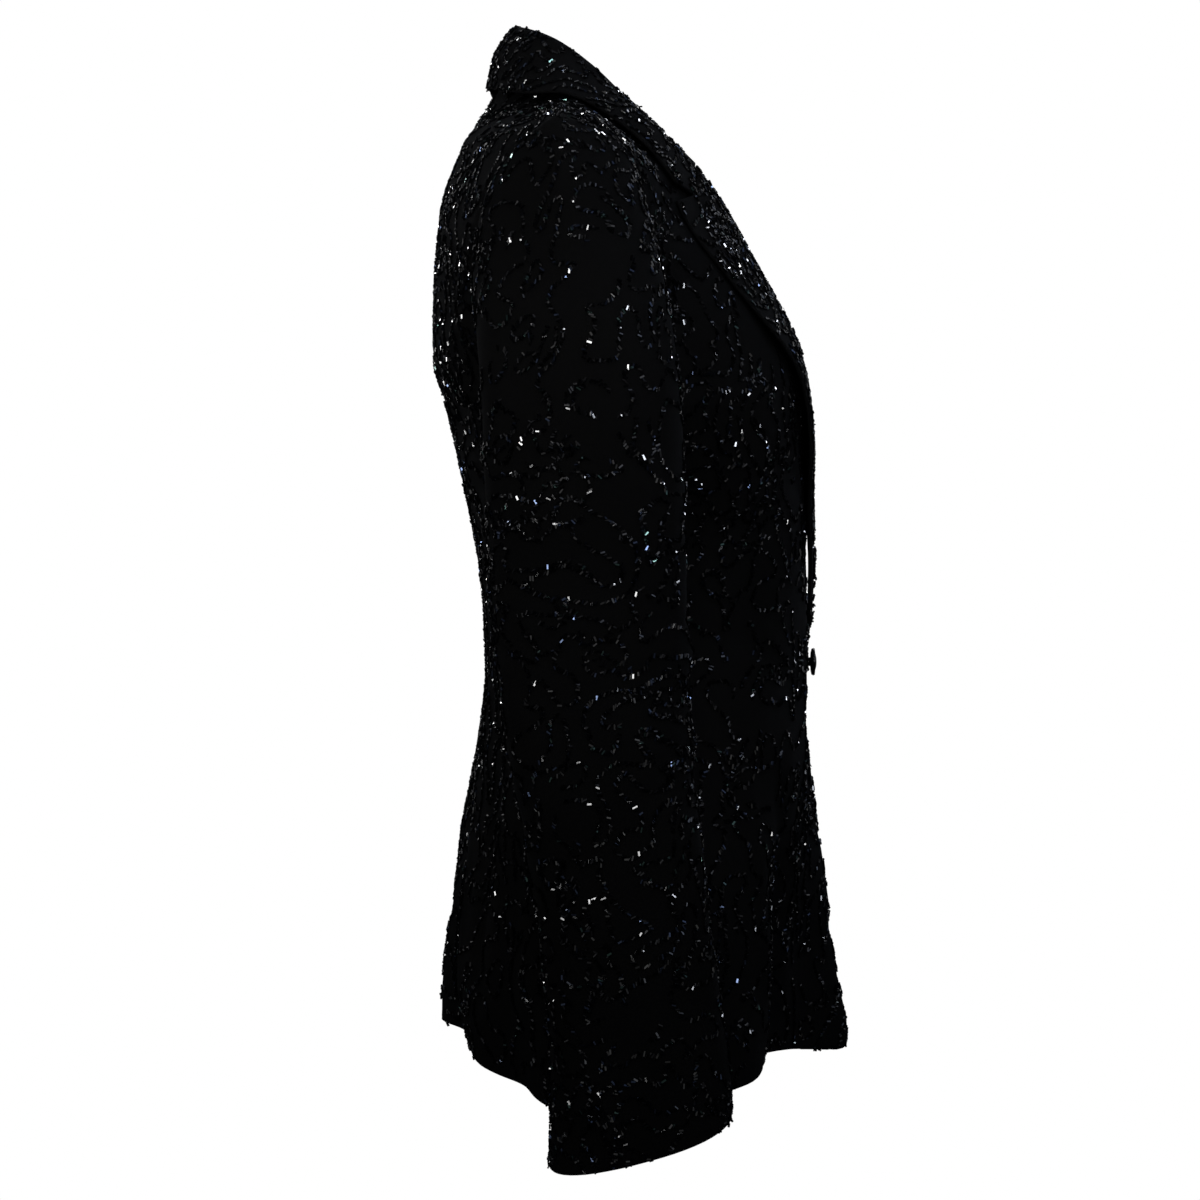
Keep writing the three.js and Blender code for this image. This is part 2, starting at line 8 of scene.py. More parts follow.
import bpy
import numpy as np
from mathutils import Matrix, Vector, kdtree


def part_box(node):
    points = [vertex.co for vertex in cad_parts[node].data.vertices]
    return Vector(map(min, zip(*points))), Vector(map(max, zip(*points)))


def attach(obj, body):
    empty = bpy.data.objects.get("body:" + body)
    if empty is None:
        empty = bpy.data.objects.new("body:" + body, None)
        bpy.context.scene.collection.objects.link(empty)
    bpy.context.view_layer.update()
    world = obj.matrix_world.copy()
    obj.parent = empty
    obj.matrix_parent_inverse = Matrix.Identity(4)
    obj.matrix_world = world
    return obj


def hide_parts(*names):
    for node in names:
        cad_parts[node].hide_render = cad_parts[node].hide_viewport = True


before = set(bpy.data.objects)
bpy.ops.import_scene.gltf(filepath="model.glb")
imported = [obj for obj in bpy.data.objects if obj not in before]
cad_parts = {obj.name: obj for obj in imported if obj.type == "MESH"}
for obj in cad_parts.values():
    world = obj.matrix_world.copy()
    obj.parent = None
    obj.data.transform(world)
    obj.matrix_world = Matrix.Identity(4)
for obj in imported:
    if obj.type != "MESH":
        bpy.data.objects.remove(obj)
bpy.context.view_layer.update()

MM = 0.001

# Camera: the photograph's view of the wearer's right side
CAMERA_PLACE = (-2.000, -0.013, -0.189)
CAMERA_PITCH = math.radians(3.69)
LENS = 93.0
SENSOR = 36.0
CLIP = (0.05, 30)


def add_camera():
    data = bpy.data.cameras.new("camera")
    data.lens = LENS
    data.sensor_width = SENSOR
    data.clip_start, data.clip_end = CLIP
    camera = bpy.data.objects.new("camera", data)
    camera.location = CAMERA_PLACE
    camera.rotation_euler = (math.radians(90) - CAMERA_PITCH, 0, math.radians(-90))
    bpy.context.scene.collection.objects.link(camera)
    bpy.context.scene.camera = camera


add_camera()

# Sizes of the garment, in millimetres and degrees
WALL = 2.0
LAPEL_WALL = 2.2
SEAM = 0.3
LAP = 20
LAP_CLEARANCE = 3.4
GRID = 5.7
END_STEP = 0.25

# Rough width and length of each piece, for the number of grid steps
BODY_LONG = 620
FRONT_WIDE = 300
BACK_WIDE = 280
SLEEVE_LONG = 620
SLEEVE_WIDE = {"top": 195, "under": 115}
LAPEL_LONG = 300
LAPEL_WIDE = 95
COLLAR_WIDE = 420
COLLAR_LONG = 105


def table(names, *values):
    """Rows with named columns."""
    return [dict(zip(names.split(), value)) for value in values]


# Armhole, from the shoulder point forwards and down to the underarm and up the back
ARMHOLE = table(
    "turn x y z",
    (0, 196, 11, -23), (25, 187, -14, -33), (50, 177, -31, -50), (75, 170, -38, -75),
    (100, 165, -39.5, -108), (130, 163, -36, -150), (155, 163, -19, -182), (180, 165, 4, -195),
    (205, 166, 28, -190), (230, 166, 49, -165), (260, 168, 60, -120), (290, 174, 58, -82),
    (315, 181, 48, -56), (340, 190, 30, -36), (360, 196, 11, -23),
)

# Side seam below the underarm
SIDE_SEAM = table(
    "z x y",
    (-609, 186, -12), (-545, 183, -10), (-466, 173, -6), (-400, 154, -3),
    (-350, 142, 0), (-300, 142, 2), (-250, 151, 3), (-195, 165, 4),
)

# Sections of the front from hem to shoulder, and of the back from hem to the last under the shoulder
FRONT = table(
    "x y z side turn start swing full lift",
    (-LAP, -137, -611, -609, None, 0, 90, 2.3, 13),
    (-LAP, -138, -545, -545, None, 0, 90, 2.3, 5),
    (-LAP, -142, -466, -466, None, 0, 90, 2.3, 0),
    (-LAP, -143, -400, -400, None, 0, 90, 2.3, 0),
    (-LAP, -143, -350, -350, None, 0, 90, 2.3, 0),
    (0, -142.5, -297, -300, None, 0, 90, 2.35, 0),
    (7, -142.5, -246, -250, None, 0, 90, 2.45, 0),
    (20, -139.5, -193, None, 180, 0, 90, 2.45, 0),
    (33, -132, -152, None, 148, 0, 74, 2.3, 0),
    (42, -109, -108, None, 118, 8, 56, 2.2, 0),
    (52, -87, -68, None, 88, 18, 36, 2, 0),
    (60, -68, -44, None, 65, 20, 34, 2, 0),
    (67, -40, -29, None, 44, 18, 30, 2, 0),
    (70, -20, -14, None, 22, 10, 22, 2, 0),
    (70, 0, 0, None, 0, 5, 15, 2, 0),
)
BACK = table(
    "x y z side turn start swing full lift",
    (0, 75, -590, -609, None, 0, 90, 2.3, 6),
    (0, 77, -545, -545, None, 0, 90, 2.5, 0),
    (0, 72, -466, -466, None, 0, 90, 2.4, 0),
    (0, 63, -400, -400, None, 0, 90, 2.4, 0),
    (0, 60.5, -350, -350, None, 0, 90, 2.4, 0),
    (0, 63.5, -300, -300, None, 0, 90, 2.5, 0),
    (0, 72, -250, -250, None, 0, 90, 2.6, 0),
    (0, 84, -195, None, 180, 0, 90, 2.7, 0),
    (0, 90.5, -156, None, 212, 0, 78, 2.6, 0),
    (0, 92, -112, None, 246, 0, 62, 2.4, 0),
    (0, 87, -68, None, 280, 0, 52, 2.2, 0),
    (0, 78, -38, None, 312, 0, 46, 2, 0),
    (0, 66, -14, None, 340, 0, 42, 2, 0),
)
EDGE_HOLD = 4
NECK_SHARE = 0.4

# Collar from the centre back to the notch: neck seam, fold, middle of the fall, and its outer edge
COLLAR = table(
    "seam fold middle edge",
    ((0, 52, 12), (0, 42.6, 48), (0, 53.5, 32.5), (0, 59, 10)),
    ((36, 42, 9.5), (34, 32, 43.5), (41, 44.8, 27), (47, 50, 5)),
    ((60, 21, 4.5), (55, 13, 34), (69, 24, 19), (81, 31, 0)),
    ((70, 0, 0), (67, -9, 17), (89, -2, 8), (109, 6, -3)),
    ((70, -20, -14), (66.5, -30, -3), (94, -26, -6), (119, -20, -17.5)),
    ((67, -40, -29), (64, -50, -21), (95, -51, -27.5), (124, -43, -37)),
    ((60, -68, -44), (60.5, -72, -42), (95, -71.5, -57), (124.5, -59.5, -57.5)),
)
SHOULDER_STATION = 3
STAND_TOP = 4.2
STAND_BOW = 1.5

# Lapel: outer edge from the break point to the tip, and the notch in its top edge
LAPEL_EDGE = table(
    "z x",
    (-335, -12), (-300, 14), (-258, 42), (-220, 62), (-180, 80),
    (-143, 97), (-116, 108), (-90, 120), (-71, 126),
)
NOTCH_ALONG = 0.64
NOTCH = (101, -66.8)
NOTCH_DEPTH = -70.5
GORGE = 3.8
ROLL_TOP = -46
BREAK = {"right": -335, "left": -288}
LAPEL_GAP = 0.6
ROLL_PUFF = 3.2
ROLL_ACROSS = 0.22
EDGE_PUFF = {"z": -215, "height": 4.5, "reach": 55}
EDGE_RAISE = {"z": -150, "height": 3.2, "reach": 70}

# Flares below the waist: degrees from the centre, width in degrees, height at the hem, start level
FRONT_FLARES = table(
    "turn width height top",
    (0, 8, 38, -395), (27, 10, -13, -400), (50, 9, 7, -370), (70, 9, -5, -400),
)
BACK_FLARES = table(
    "turn width height top",
    (0, 8, 18, -390), (32, 9, 3, -400), (55, 11, -13, -400), (78, 8, 5, -420),
)
HEM_LEVEL = -611
FLARE_POWER = 1.3
FLARE_MOST = 0.93
RIDGE_SHIFT = 2.6
HIP_HALF = 190
LAP_TOP = -240
LAP_FADE = 60

# Sleeve rings from the cuff up to the underarm
SLEEVE = table(
    "x y z thick deep tilt hang",
    (240, -37, -613, 36, 56, 15.5, 5),
    (237, -34.5, -560, 36.5, 51.5, 14, 2),
    (233, -29, -508, 37, 49.5, 12, 1),
    (229, -22.5, -456, 38, 49.5, 11, 0),
    (225, -15.5, -408, 39.5, 51.5, 9, 0),
    (222, -10, -360, 41, 54.5, 6, 0),
    (219, -6.5, -310, 42, 56.5, 3, 0),
    (216, -5, -262, 43, 57.5, 1, 0),
    (213, -3.5, -215, 44, 58, 0, 0),
)
RINGS = len(SLEEVE) - 1
SLEEVE_FULL = 2.15
FRONT_SLEEVE_SEAM = 122
BACK_SLEEVE_SEAM = -112
SLEEVE_GAP = 0.8
SLEEVE_RADIUS = 50
HEAD_REACH = (62, 34, 8)
HEAD_RISE = (6, -8, -6)
HEAD_FALL = 1.8


def curve_weights(stations, place):
    """For each place, the share of each station's value in a smooth curve through the stations."""
    stations = np.asarray(list(stations), float)
    place = np.asarray(place, float)
    last = len(stations) - 1
    i = np.clip(np.searchsorted(stations, place, side="left") - 1, 0, last - 1)
    step = stations[i + 1] - stations[i]
    f = (place - stations[i]) / step
    f2 = f * f
    f3 = f2 * f
    each = np.arange(len(place))
    weights = np.zeros((len(place), last + 1))
    weights[each, i] += 2 * f3 - 3 * f2 + 1
    weights[each, i + 1] += 3 * f2 - 2 * f3
    for k, slope in ((i, f3 - 2 * f2 + f), (i + 1, f3 - f2)):
        before = np.maximum(k - 1, 0)
        after = np.minimum(k + 1, last)
        share = slope * step / (stations[after] - stations[before])
        weights[each, after] += share
        weights[each, before] -= share
    return weights


def curve(stations, values, place):
    """Values read off a smooth curve through the stations."""
    return curve_weights(stations, place) @ np.asarray(values, float)


def column(rows, names):
    """The named columns of a table, as an array."""
    return np.array([[row[name] for name in names.split()] for row in rows], float)


def lerp(a, b, f):
    return a + (b - a) * f


def smooth(value):
    held = np.clip(value, 0, 1)
    return held * held * (3 - 2 * held)


def unit(vectors):
    return vectors / np.maximum(np.linalg.norm(vectors, axis=-1, keepdims=True), 1e-12)


def armhole(turn):
    return curve(column(ARMHOLE, "turn")[:, 0], column(ARMHOLE, "x y z"), np.mod(turn, 360))


def side_seam(z):
    return np.column_stack([curve(column(SIDE_SEAM, "z")[:, 0], column(SIDE_SEAM, "x y"), z), z])


def collar_line(name, station):
    """A line of the collar from notch to notch, 0 at the centre back."""
    half = np.array([row[name] for row in COLLAR], float)
    other = half[:0:-1] * (-1, 1, 1)
    last = len(COLLAR) - 1
    return curve(range(-last, last + 1), np.vstack([other, half]), station)


def super_radius(angle, full):
    """The radius of a unit oval that gets squarer as its fullness grows: 2 is a circle."""
    return (np.abs(np.cos(angle)) ** full + np.abs(np.sin(angle)) ** full) ** (-1 / full)


def section(row, share):
    """Points of one section of the body, a share of the way from its inner to its outer end."""
    if row["turn"] is None:
        end = side_seam(np.array([row["side"]]))[0]
    else:
        end = armhole(np.array([row["turn"]]))[0]
    start, swing = math.radians(row["start"]), math.radians(row["swing"])
    first = math.asin(row["x"] / end[0]) if row["x"] < 0 else start

    def reach(turn):
        r = super_radius(turn, row["full"])
        return np.sin(turn) * r, np.cos(turn) * r

    x0, y0 = reach(start)
    x1, y1 = reach(swing)
    x, y = reach(lerp(first, swing, share))
    across = (x - x0) / (x1 - x0)
    back = (y0 - y) / (y0 - y1)
    lift = row["lift"] * np.sin(np.pi * np.minimum(np.abs(across), 1))
    z = lerp(row["z"], end[2], np.maximum(across, 0)) + lift
    return np.column_stack([lerp(max(row["x"], 0), end[0], across), lerp(row["y"], end[1], back), z])


def back_top(share):
    """The back's top edge: neckline, then shoulder seam."""
    neck = collar_line("seam", np.minimum(share, NECK_SHARE) / NECK_SHARE * SHOULDER_STATION)
    shoulder = section(FRONT[-1], np.maximum(share - NECK_SHARE, 0) / (1 - NECK_SHARE))
    return np.where((share <= NECK_SHARE)[:, None], neck, shoulder)


def outer_edge(rows, extra_turns, place):
    """The outer edge of a panel: the side seam, then the armhole."""
    turns = [row["turn"] for row in rows] + extra_turns
    under = next(i for i, turn in enumerate(turns) if turn is not None)
    levels = [row["side"] for row in rows[:under]] + [armhole(np.array([turns[under]]))[0, 2]]
    low = side_seam(curve(range(under + 1), levels, np.minimum(place, under)))
    high = armhole(curve(range(under, len(turns)), turns[under:], np.maximum(place, under)))
    return np.where((place >= under)[:, None], high, low)


def loft(rows, extra, extra_turns, share, height):
    """A smooth surface through sections, with height 0 at the first one and 1 at the last."""
    count = len(rows) + len(extra)
    place = height * (count - 1)
    weights = curve_weights(range(count), place)
    layers = [section(row, share) for row in rows] + [one(share) for one in extra]
    tip = np.ones(1)
    ends = np.vstack([section(row, tip) for row in rows] + [one(tip) for one in extra])
    point = np.einsum("mn,nmk->mk", weights, np.array(layers))
    hold = (share ** EDGE_HOLD)[:, None]
    return point + (outer_edge(rows, extra_turns, place) - weights @ ends) * hold


def front_base(share, height):
    return loft(FRONT, [], [], share, height)


def back_base(share, height):
    return loft(BACK, [back_top], [360], share, height)


STEP = 1e-3


def normal_of(surface, share, height):
    """The outward direction of a surface on the left side of the body."""
    du = surface(share + STEP, height) - surface(share - STEP, height)
    dv = surface(share, height + STEP) - surface(share, height - STEP)
    return unit(np.cross(du, dv))


def flare(rows, point, shift):
    """Soft ridges and troughs that grow from the waist to the hem."""
    degrees = np.degrees(np.arcsin(np.clip(point[:, 0] / HIP_HALF, -1, 1)))
    total = np.zeros(len(point))
    for row in rows:
        down = (row["top"] - point[:, 2]) / (row["top"] - HEM_LEVEL)
        grown = np.clip(down, 0, FLARE_MOST) ** FLARE_POWER
        place = shift if row["turn"] == 0 else row["turn"]
        total += row["height"] * grown * np.exp(-(((degrees - place) / row["width"]) ** 2))
    return total


def front_surface(over):
    """The right front laps over the left one: the two are held apart where they cross."""
    side = 1 if over else -1

    def surface(share, height):
        point = front_base(share, height)
        rise = flare(FRONT_FLARES, point, -side * RIDGE_SHIFT)
        point = point + normal_of(front_base, share, height) * rise[:, None]
        across = 1 - smooth((np.abs(point[:, 0]) - LAP) / (2 * LAP))
        up = smooth((LAP_TOP - point[:, 2]) / LAP_FADE)
        point[:, 1] -= side * LAP_CLEARANCE * across * up
        return point

    return surface


def back_surface(share, height):
    point = back_base(share, height)
    rise = flare(BACK_FLARES, point, 0)
    return point - normal_of(back_base, share, height) * rise[:, None]


SEARCH_STEPS = 10
SEARCH_SHARE = 0.3
SEARCH_HEIGHT = 0.5


def locate(surface, x, z):
    """The place on a surface with a given x and z, found by steps from within the panel."""
    share = np.full(len(x), SEARCH_SHARE)
    height = np.full(len(x), SEARCH_HEIGHT)
    for _ in range(SEARCH_STEPS):
        point = surface(share, height)
        du = (surface(share + STEP, height) - point) / STEP
        dv = (surface(share, height + STEP) - point) / STEP
        ex = x - point[:, 0]
        ez = z - point[:, 2]
        det = du[:, 0] * dv[:, 2] - dv[:, 0] * du[:, 2]
        share = share + (ex * dv[:, 2] - dv[:, 0] * ez) / det
        height = height + (du[:, 0] * ez - ex * du[:, 2]) / det
    return share, height


def spaced(length):
    """Even places from 0 to 1, a grid step apart, with one more close to each end."""
    count = max(int(round(length / GRID)), 4)
    even = np.linspace(0, 1, count + 1)
    near = even[1] * END_STEP
    return np.concatenate([[0, near], even[1:-1], [1 - near, 1]])


def grid_of(surface, width, length):
    """A surface's points on a grid: rows run up, columns across."""
    shares, heights = spaced(width), spaced(length)
    share, height = np.meshgrid(shares, heights)
    points = surface(share.ravel(), height.ravel())
    return points.reshape(len(heights), len(shares), 3)


def grid_normals(points):
    du = np.gradient(points, axis=1)
    dv = np.gradient(points, axis=0)
    return unit(np.cross(du, dv))


def edge_distances(points):
    """How far each grid point lies from the left, right, bottom and top edge, along the cloth."""
    across = np.linalg.norm(np.diff(points, axis=1), axis=2)
    up = np.linalg.norm(np.diff(points, axis=0), axis=2)
    left = np.pad(np.cumsum(across, axis=1), ((0, 0), (1, 0)))
    low = np.pad(np.cumsum(up, axis=0), ((1, 0), (0, 0)))
    return left, left[:, -1:] - left, low, low[-1:] - low


class Waves:
    """A smooth random field: a sum of plane waves of about one wavelength."""

    def __init__(self, seed, wavelength, spread, count):
        rng = np.random.default_rng(seed)
        directions = unit(rng.normal(size=(count, 3)))
        lengths = wavelength * (1 + spread * rng.uniform(-1, 1, count))
        self.vectors = directions * (2 * np.pi / lengths)[:, None]
        self.phases = rng.uniform(0, 2 * np.pi, count)

    def __call__(self, points):
        phase = points.reshape(-1, 3) @ self.vectors.T + self.phases
        return (np.cos(phase).sum(1) / math.sqrt(len(self.phases) / 2)).reshape(points.shape[:-1])


# Creases in the cloth: both ends as degrees round the piece and level, half width, height (a trough
# is below 0) and how far the crease bows sideways, in millimetres
CREASE = "turn0 z0 turn1 z1 width height bow"
BODY_CREASES = {
    "right": table(
        CREASE,
        (58, -395, 50, -600, 9, 3.4, 4), (44, -410, 39, -585, 11, -4.2, -3),
        (30, -430, 27, -605, 8, 1.8, 3), (72, -372, 66, -470, 6, -2.2, 3),
        (64, -362, 60, -430, 5, 1.8, -2), (80, -420, 74, -580, 9, -2.6, 0),
        (52, -330, 28, -368, 6, -1.5, 5), (60, -316, 30, -344, 5, 1.3, 4),
        (70, -345, 48, -352, 5, 1.4, 2), (84, -235, 56, -296, 8, -1.6, 6),
        (66, -120, 52, -196, 9, -1.7, 5), (38, -150, 46, -226, 8, 1.2, -4),
        (104, -400, 112, -590, 10, 3.2, -4), (122, -410, 128, -575, 11, -3.8, 3),
        (140, -430, 142, -590, 9, 2.6, 3), (158, -400, 152, -570, 10, -2.4, -4),
        (112, -330, 150, -350, 6, -1.6, 4), (108, -352, 140, -366, 5, 1.4, 3),
        (120, -140, 150, -215, 10, 1.5, 6), (112, -210, 140, -280, 8, -1.6, 5),
    ),
    "left": table(
        CREASE,
        (54, -405, 47, -596, 10, 3.1, -3), (40, -398, 37, -600, 10, -3.8, 4),
        (26, -450, 24, -600, 8, 1.6, -2), (70, -390, 63, -520, 8, -2.6, 2),
        (82, -400, 78, -590, 9, 2.4, -3), (56, -322, 30, -352, 6, -1.6, 4),
        (66, -338, 38, -372, 6, 1.4, 5), (80, -250, 58, -310, 7, -1.5, 5),
        (62, -128, 48, -205, 9, -1.6, 5), (108, -410, 116, -596, 10, -3.3, 4),
        (126, -396, 134, -580, 10, 3.0, -3), (148, -420, 146, -592, 9, -2.4, 3),
        (164, -410, 160, -560, 9, 1.8, 2), (110, -338, 146, -344, 6, 1.5, 4),
        (116, -150, 144, -222, 10, -1.6, 6), (110, -262, 142, -300, 8, 1.4, 4),
    ),
}
SLEEVE_CREASES = {
    "right": table(
        CREASE,
        (118, -238, 66, -268, 6, -2.4, 4), (128, -292, 70, -318, 6, -2.6, 5),
        (120, -318, 78, -338, 5, 2.0, 4), (134, -342, 60, -352, 6, -2.8, 6),
        (122, -372, 74, -386, 5, 1.8, 4), (116, -398, 58, -428, 7, -2.2, -5),
        (-60, -322, -20, -346, 8, -1.8, 5), (-84, -352, -30, -392, 9, 1.6, 6),
        (40, -180, 28, -300, 12, -1.5, 5), (-24, -140, -38, -262, 12, -1.6, -6),
        (16, -410, 34, -560, 10, -1.5, 4), (-50, -450, -30, -590, 10, 1.4, -4),
        (230, -230, 166, -262, 7, -2.2, 4), (226, -300, 150, -330, 7, -2.4, 5),
        (214, -348, 152, -366, 6, 2.0, 4),
    ),
    "left": table(
        CREASE,
        (124, -250, 72, -276, 6, -2.2, 4), (130, -300, 64, -330, 7, -2.7, 5),
        (118, -330, 74, -346, 5, 1.9, -4), (128, -360, 66, -372, 6, -2.4, 5),
        (112, -408, 62, -440, 7, 1.8, 5), (-70, -330, -26, -352, 8, -1.7, 5),
        (-80, -372, -34, -404, 8, 1.6, 5), (32, -190, 22, -320, 12, -1.6, -5),
        (-30, -150, -30, -280, 12, 1.3, 6), (6, -430, 20, -570, 10, -1.5, 4),
        (222, -244, 160, -270, 7, -2.2, 4), (230, -312, 154, -344, 7, -2.4, 5),
    ),
}
BODY_PER_DEGREE = 2.7
SLEEVE_PER_DEGREE = 0.85
CREASE_TAPER = 0.7
BODY_MIDDLE = -25


def creases(rows, turn, z, per_degree):
    """The height that soft troughs and ridges add, tapered to nothing at both ends."""
    total = np.zeros(z.shape)
    for row in rows:
        start = np.array([row["turn0"] * per_degree, row["z0"]])
        run = np.array([row["turn1"] * per_degree, row["z1"]]) - start
        length = np.linalg.norm(run)
        along = run / length
        rel = np.stack([turn * per_degree, z], -1) - start
        f = np.clip((rel @ along) / length, 0, 1)
        taper = np.sin(np.pi * f)
        beside = rel @ np.array([-along[1], along[0]]) - row["bow"] * taper
        total += row["height"] * taper ** CREASE_TAPER * np.exp(-((beside / row["width"]) ** 2))
    return total


def body_turn(points):
    """Degrees round the body from the centre front to the centre back."""
    return np.degrees(np.arctan2(np.abs(points[..., 0]), BODY_MIDDLE - points[..., 1]))


WOBBLE = Waves(11, 95, 0.5, 40)
RIPPLE = Waves(12, 34, 0.4, 40)
WOBBLE_HEIGHT = 0.8
RIPPLE_HEIGHT = 0.22
GROOVE_DEPTH = 1.3
GROOVE_WIDTH = 4.5


def groove(distances, seams):
    """A soft dip along each sewn edge, given as left, right, bottom and top."""
    dips = (sewn * np.exp(-((d / GROOVE_WIDTH) ** 2)) for d, sewn in zip(distances, seams))
    return -GROOVE_DEPTH * sum(dips)


# Meshes
def new_object(name, vertices, loops, sizes, smooth_faces, material):
    """A mesh object from arrays: vertices in millimetres, corner indices and corners per face."""
    mesh = bpy.data.meshes.new(name)
    mesh.vertices.add(len(vertices))
    mesh.vertices.foreach_set("co", (np.asarray(vertices, np.float32) * MM).ravel())
    mesh.loops.add(len(loops))
    mesh.loops.foreach_set("vertex_index", np.asarray(loops, np.int32))
    mesh.polygons.add(len(sizes))
    starts = np.concatenate([[0], np.cumsum(sizes)[:-1]]).astype(np.int32)
    mesh.polygons.foreach_set("loop_start", starts)
    mesh.update(calc_edges=True)
    mesh.validate()
    mesh.polygons.foreach_set("use_smooth", np.full(len(mesh.polygons), smooth_faces))
    mesh.materials.append(material)
    item = bpy.data.objects.new(name, mesh)
    bpy.context.scene.collection.objects.link(item)
    return item


# How far the middle of a wall's rim stands out: round on a free edge, just into the next wall if sewn
FREE = 0.9
SEWN = 0.45
SEWN_ARMHOLE = 1.3


def shell(name, outer, thickness, rims, material):
    """A closed wall under an outer face, with the reach of its left, right, bottom and top rim."""
    tall, wide, _ = outer.shape
    normals = grid_normals(outer)
    inner = outer - normals * thickness
    du = unit(np.gradient(outer, axis=1))
    dv = unit(np.gradient(outer, axis=0))
    ring = [(0, j) for j in range(wide - 1)] + [(i, wide - 1) for i in range(tall - 1)]
    ring += [(tall - 1, j) for j in range(wide - 1, 0, -1)] + [(i, 0) for i in range(tall - 1, 0, -1)]
    left, right, bottom, top = rims
    rim = []
    for i, j in ring:
        away = -left * du[i, j] * (j == 0) + right * du[i, j] * (j == wide - 1)
        away = away - bottom * dv[i, j] * (i == 0) + top * dv[i, j] * (i == tall - 1)
        rim.append((outer[i, j] + inner[i, j]) / 2 + away)
    vertices = np.vstack([outer.reshape(-1, 3), inner.reshape(-1, 3), np.array(rim)])
    index = np.arange(tall * wide).reshape(tall, wide)
    quads = np.stack([index[:-1, :-1], index[:-1, 1:], index[1:, 1:], index[1:, :-1]], -1).reshape(-1, 4)
    other = quads[:, ::-1] + tall * wide
    around = np.array([index[i, j] for i, j in ring])
    edge = np.arange(len(ring)) + 2 * tall * wide
    nxt = np.roll(around, -1)
    edge_next = np.roll(edge, -1)
    rim_top = np.stack([nxt, around, edge, edge_next], -1)
    rim_low = np.stack([edge_next, edge, around + tall * wide, nxt + tall * wide], -1)
    faces = np.vstack([quads, other, rim_top, rim_low])
    return new_object(name, vertices, faces.ravel(), np.full(len(faces), 4), True, material)


# Materials
CREPE_DYE = ((0.32, (0.0046, 0.0046, 0.0047, 1)), (0.7, (0.0070, 0.0070, 0.0072, 1)))
GLASS_DYE = ((0, (0.0012, 0.0012, 0.0013, 1)), (1, (0.0040, 0.0042, 0.0050, 1)))
GLASS_TINTS = ((0, (0.45, 0.60, 1.0, 1)), (0.16, (0.55, 0.95, 0.85, 1)), (0.22, (1, 1, 1, 1)))
GLASS_POLISH = (0.03, 0.11)
GLASS_IOR = 1.65
TINT_SHUFFLE = 37.0
CREPE_GLOSS = {"Roughness": 0.88, "Specular IOR Level": 0.03}
CREPE_SHEEN = {"Sheen Weight": 0.008, "Sheen Roughness": 0.45, "Sheen Tint": (0.62, 0.74, 1.0, 1)}
DYE = {"Scale": 9.0, "Detail": 4.0}
PEBBLE = {"Scale": 1500.0, "Detail": 3.0, "Distortion": 0.6}
YARN = {"Scale": 950.0}
YARN_SHARE = 0.6
WEAVE_BUMP = {"Strength": 0.55, "Distance": 0.0003}


def new_material(name):
    material = bpy.data.materials.new(name)
    material.use_nodes = True
    nodes = material.node_tree.nodes
    return material, nodes, material.node_tree.links, nodes["Principled BSDF"]


def settle(node, inputs):
    """Sets a node's inputs by name."""
    for name, value in inputs.items():
        node.inputs[name].default_value = value
    return node


def add_node(nodes, kind, inputs):
    return settle(nodes.new(kind), inputs)


def add_ramp(nodes, links, stops, source):
    """A colour ramp with the given places and colours, read at a source."""
    ramp = nodes.new("ShaderNodeValToRGB")
    elements = ramp.color_ramp.elements
    for place, _ in stops[2:]:
        elements.new(place)
    for element, (place, color) in zip(elements, stops):
        element.position = place
        element.color = color
    links.new(source, ramp.inputs["Fac"])
    return ramp


def add_math(nodes, links, operation, *terms):
    """A sum on sockets and plain numbers."""
    node = nodes.new("ShaderNodeMath")
    node.operation = operation
    for slot, term in zip(node.inputs, terms):
        if isinstance(term, (int, float)):
            slot.default_value = term
        else:
            links.new(term, slot)
    return node.outputs["Value"]


def crepe_material():
    """Fine black crepe: a pebbled weave, a faint cool sheen and slightly uneven dye."""
    material, nodes, links, principled = new_material("crepe")
    settle(principled, {**CREPE_GLOSS, **CREPE_SHEEN})
    place = nodes.new("ShaderNodeTexCoord").outputs["Object"]
    dye = add_node(nodes, "ShaderNodeTexNoise", DYE)
    pebble = add_node(nodes, "ShaderNodeTexNoise", PEBBLE)
    yarn = add_node(nodes, "ShaderNodeTexVoronoi", YARN)
    for texture in (dye, pebble, yarn):
        links.new(place, texture.inputs["Vector"])
    ramp = add_ramp(nodes, links, CREPE_DYE, dye.outputs["Fac"])
    links.new(ramp.outputs["Color"], principled.inputs["Base Color"])
    distance = yarn.outputs["Distance"]
    weave = add_math(nodes, links, "MULTIPLY_ADD", distance, YARN_SHARE, pebble.outputs["Fac"])
    bump = add_node(nodes, "ShaderNodeBump", WEAVE_BUMP)
    links.new(weave, bump.inputs["Height"])
    links.new(bump.outputs["Normal"], principled.inputs["Normal"])
    return material


def bead_material():
    """Black glass: each bead differs a little in polish and in tint."""
    material, nodes, links, principled = new_material("beads")
    principled.inputs["IOR"].default_value = GLASS_IOR
    chance = nodes.new("ShaderNodeNewGeometry").outputs["Random Per Island"]
    low, high = GLASS_POLISH
    polish = add_node(nodes, "ShaderNodeMapRange", {"To Min": low, "To Max": high})
    links.new(chance, polish.inputs["Value"])
    links.new(polish.outputs["Result"], principled.inputs["Roughness"])
    ramp = add_ramp(nodes, links, GLASS_DYE, chance)
    links.new(ramp.outputs["Color"], principled.inputs["Base Color"])
    shuffled = add_math(nodes, links, "MULTIPLY", chance, TINT_SHUFFLE)
    shuffled = add_math(nodes, links, "FRACT", shuffled)
    tint = add_ramp(nodes, links, GLASS_TINTS, shuffled)
    tint.color_ramp.interpolation = "CONSTANT"
    links.new(tint.outputs["Color"], principled.inputs["Specular Tint"])
    return material


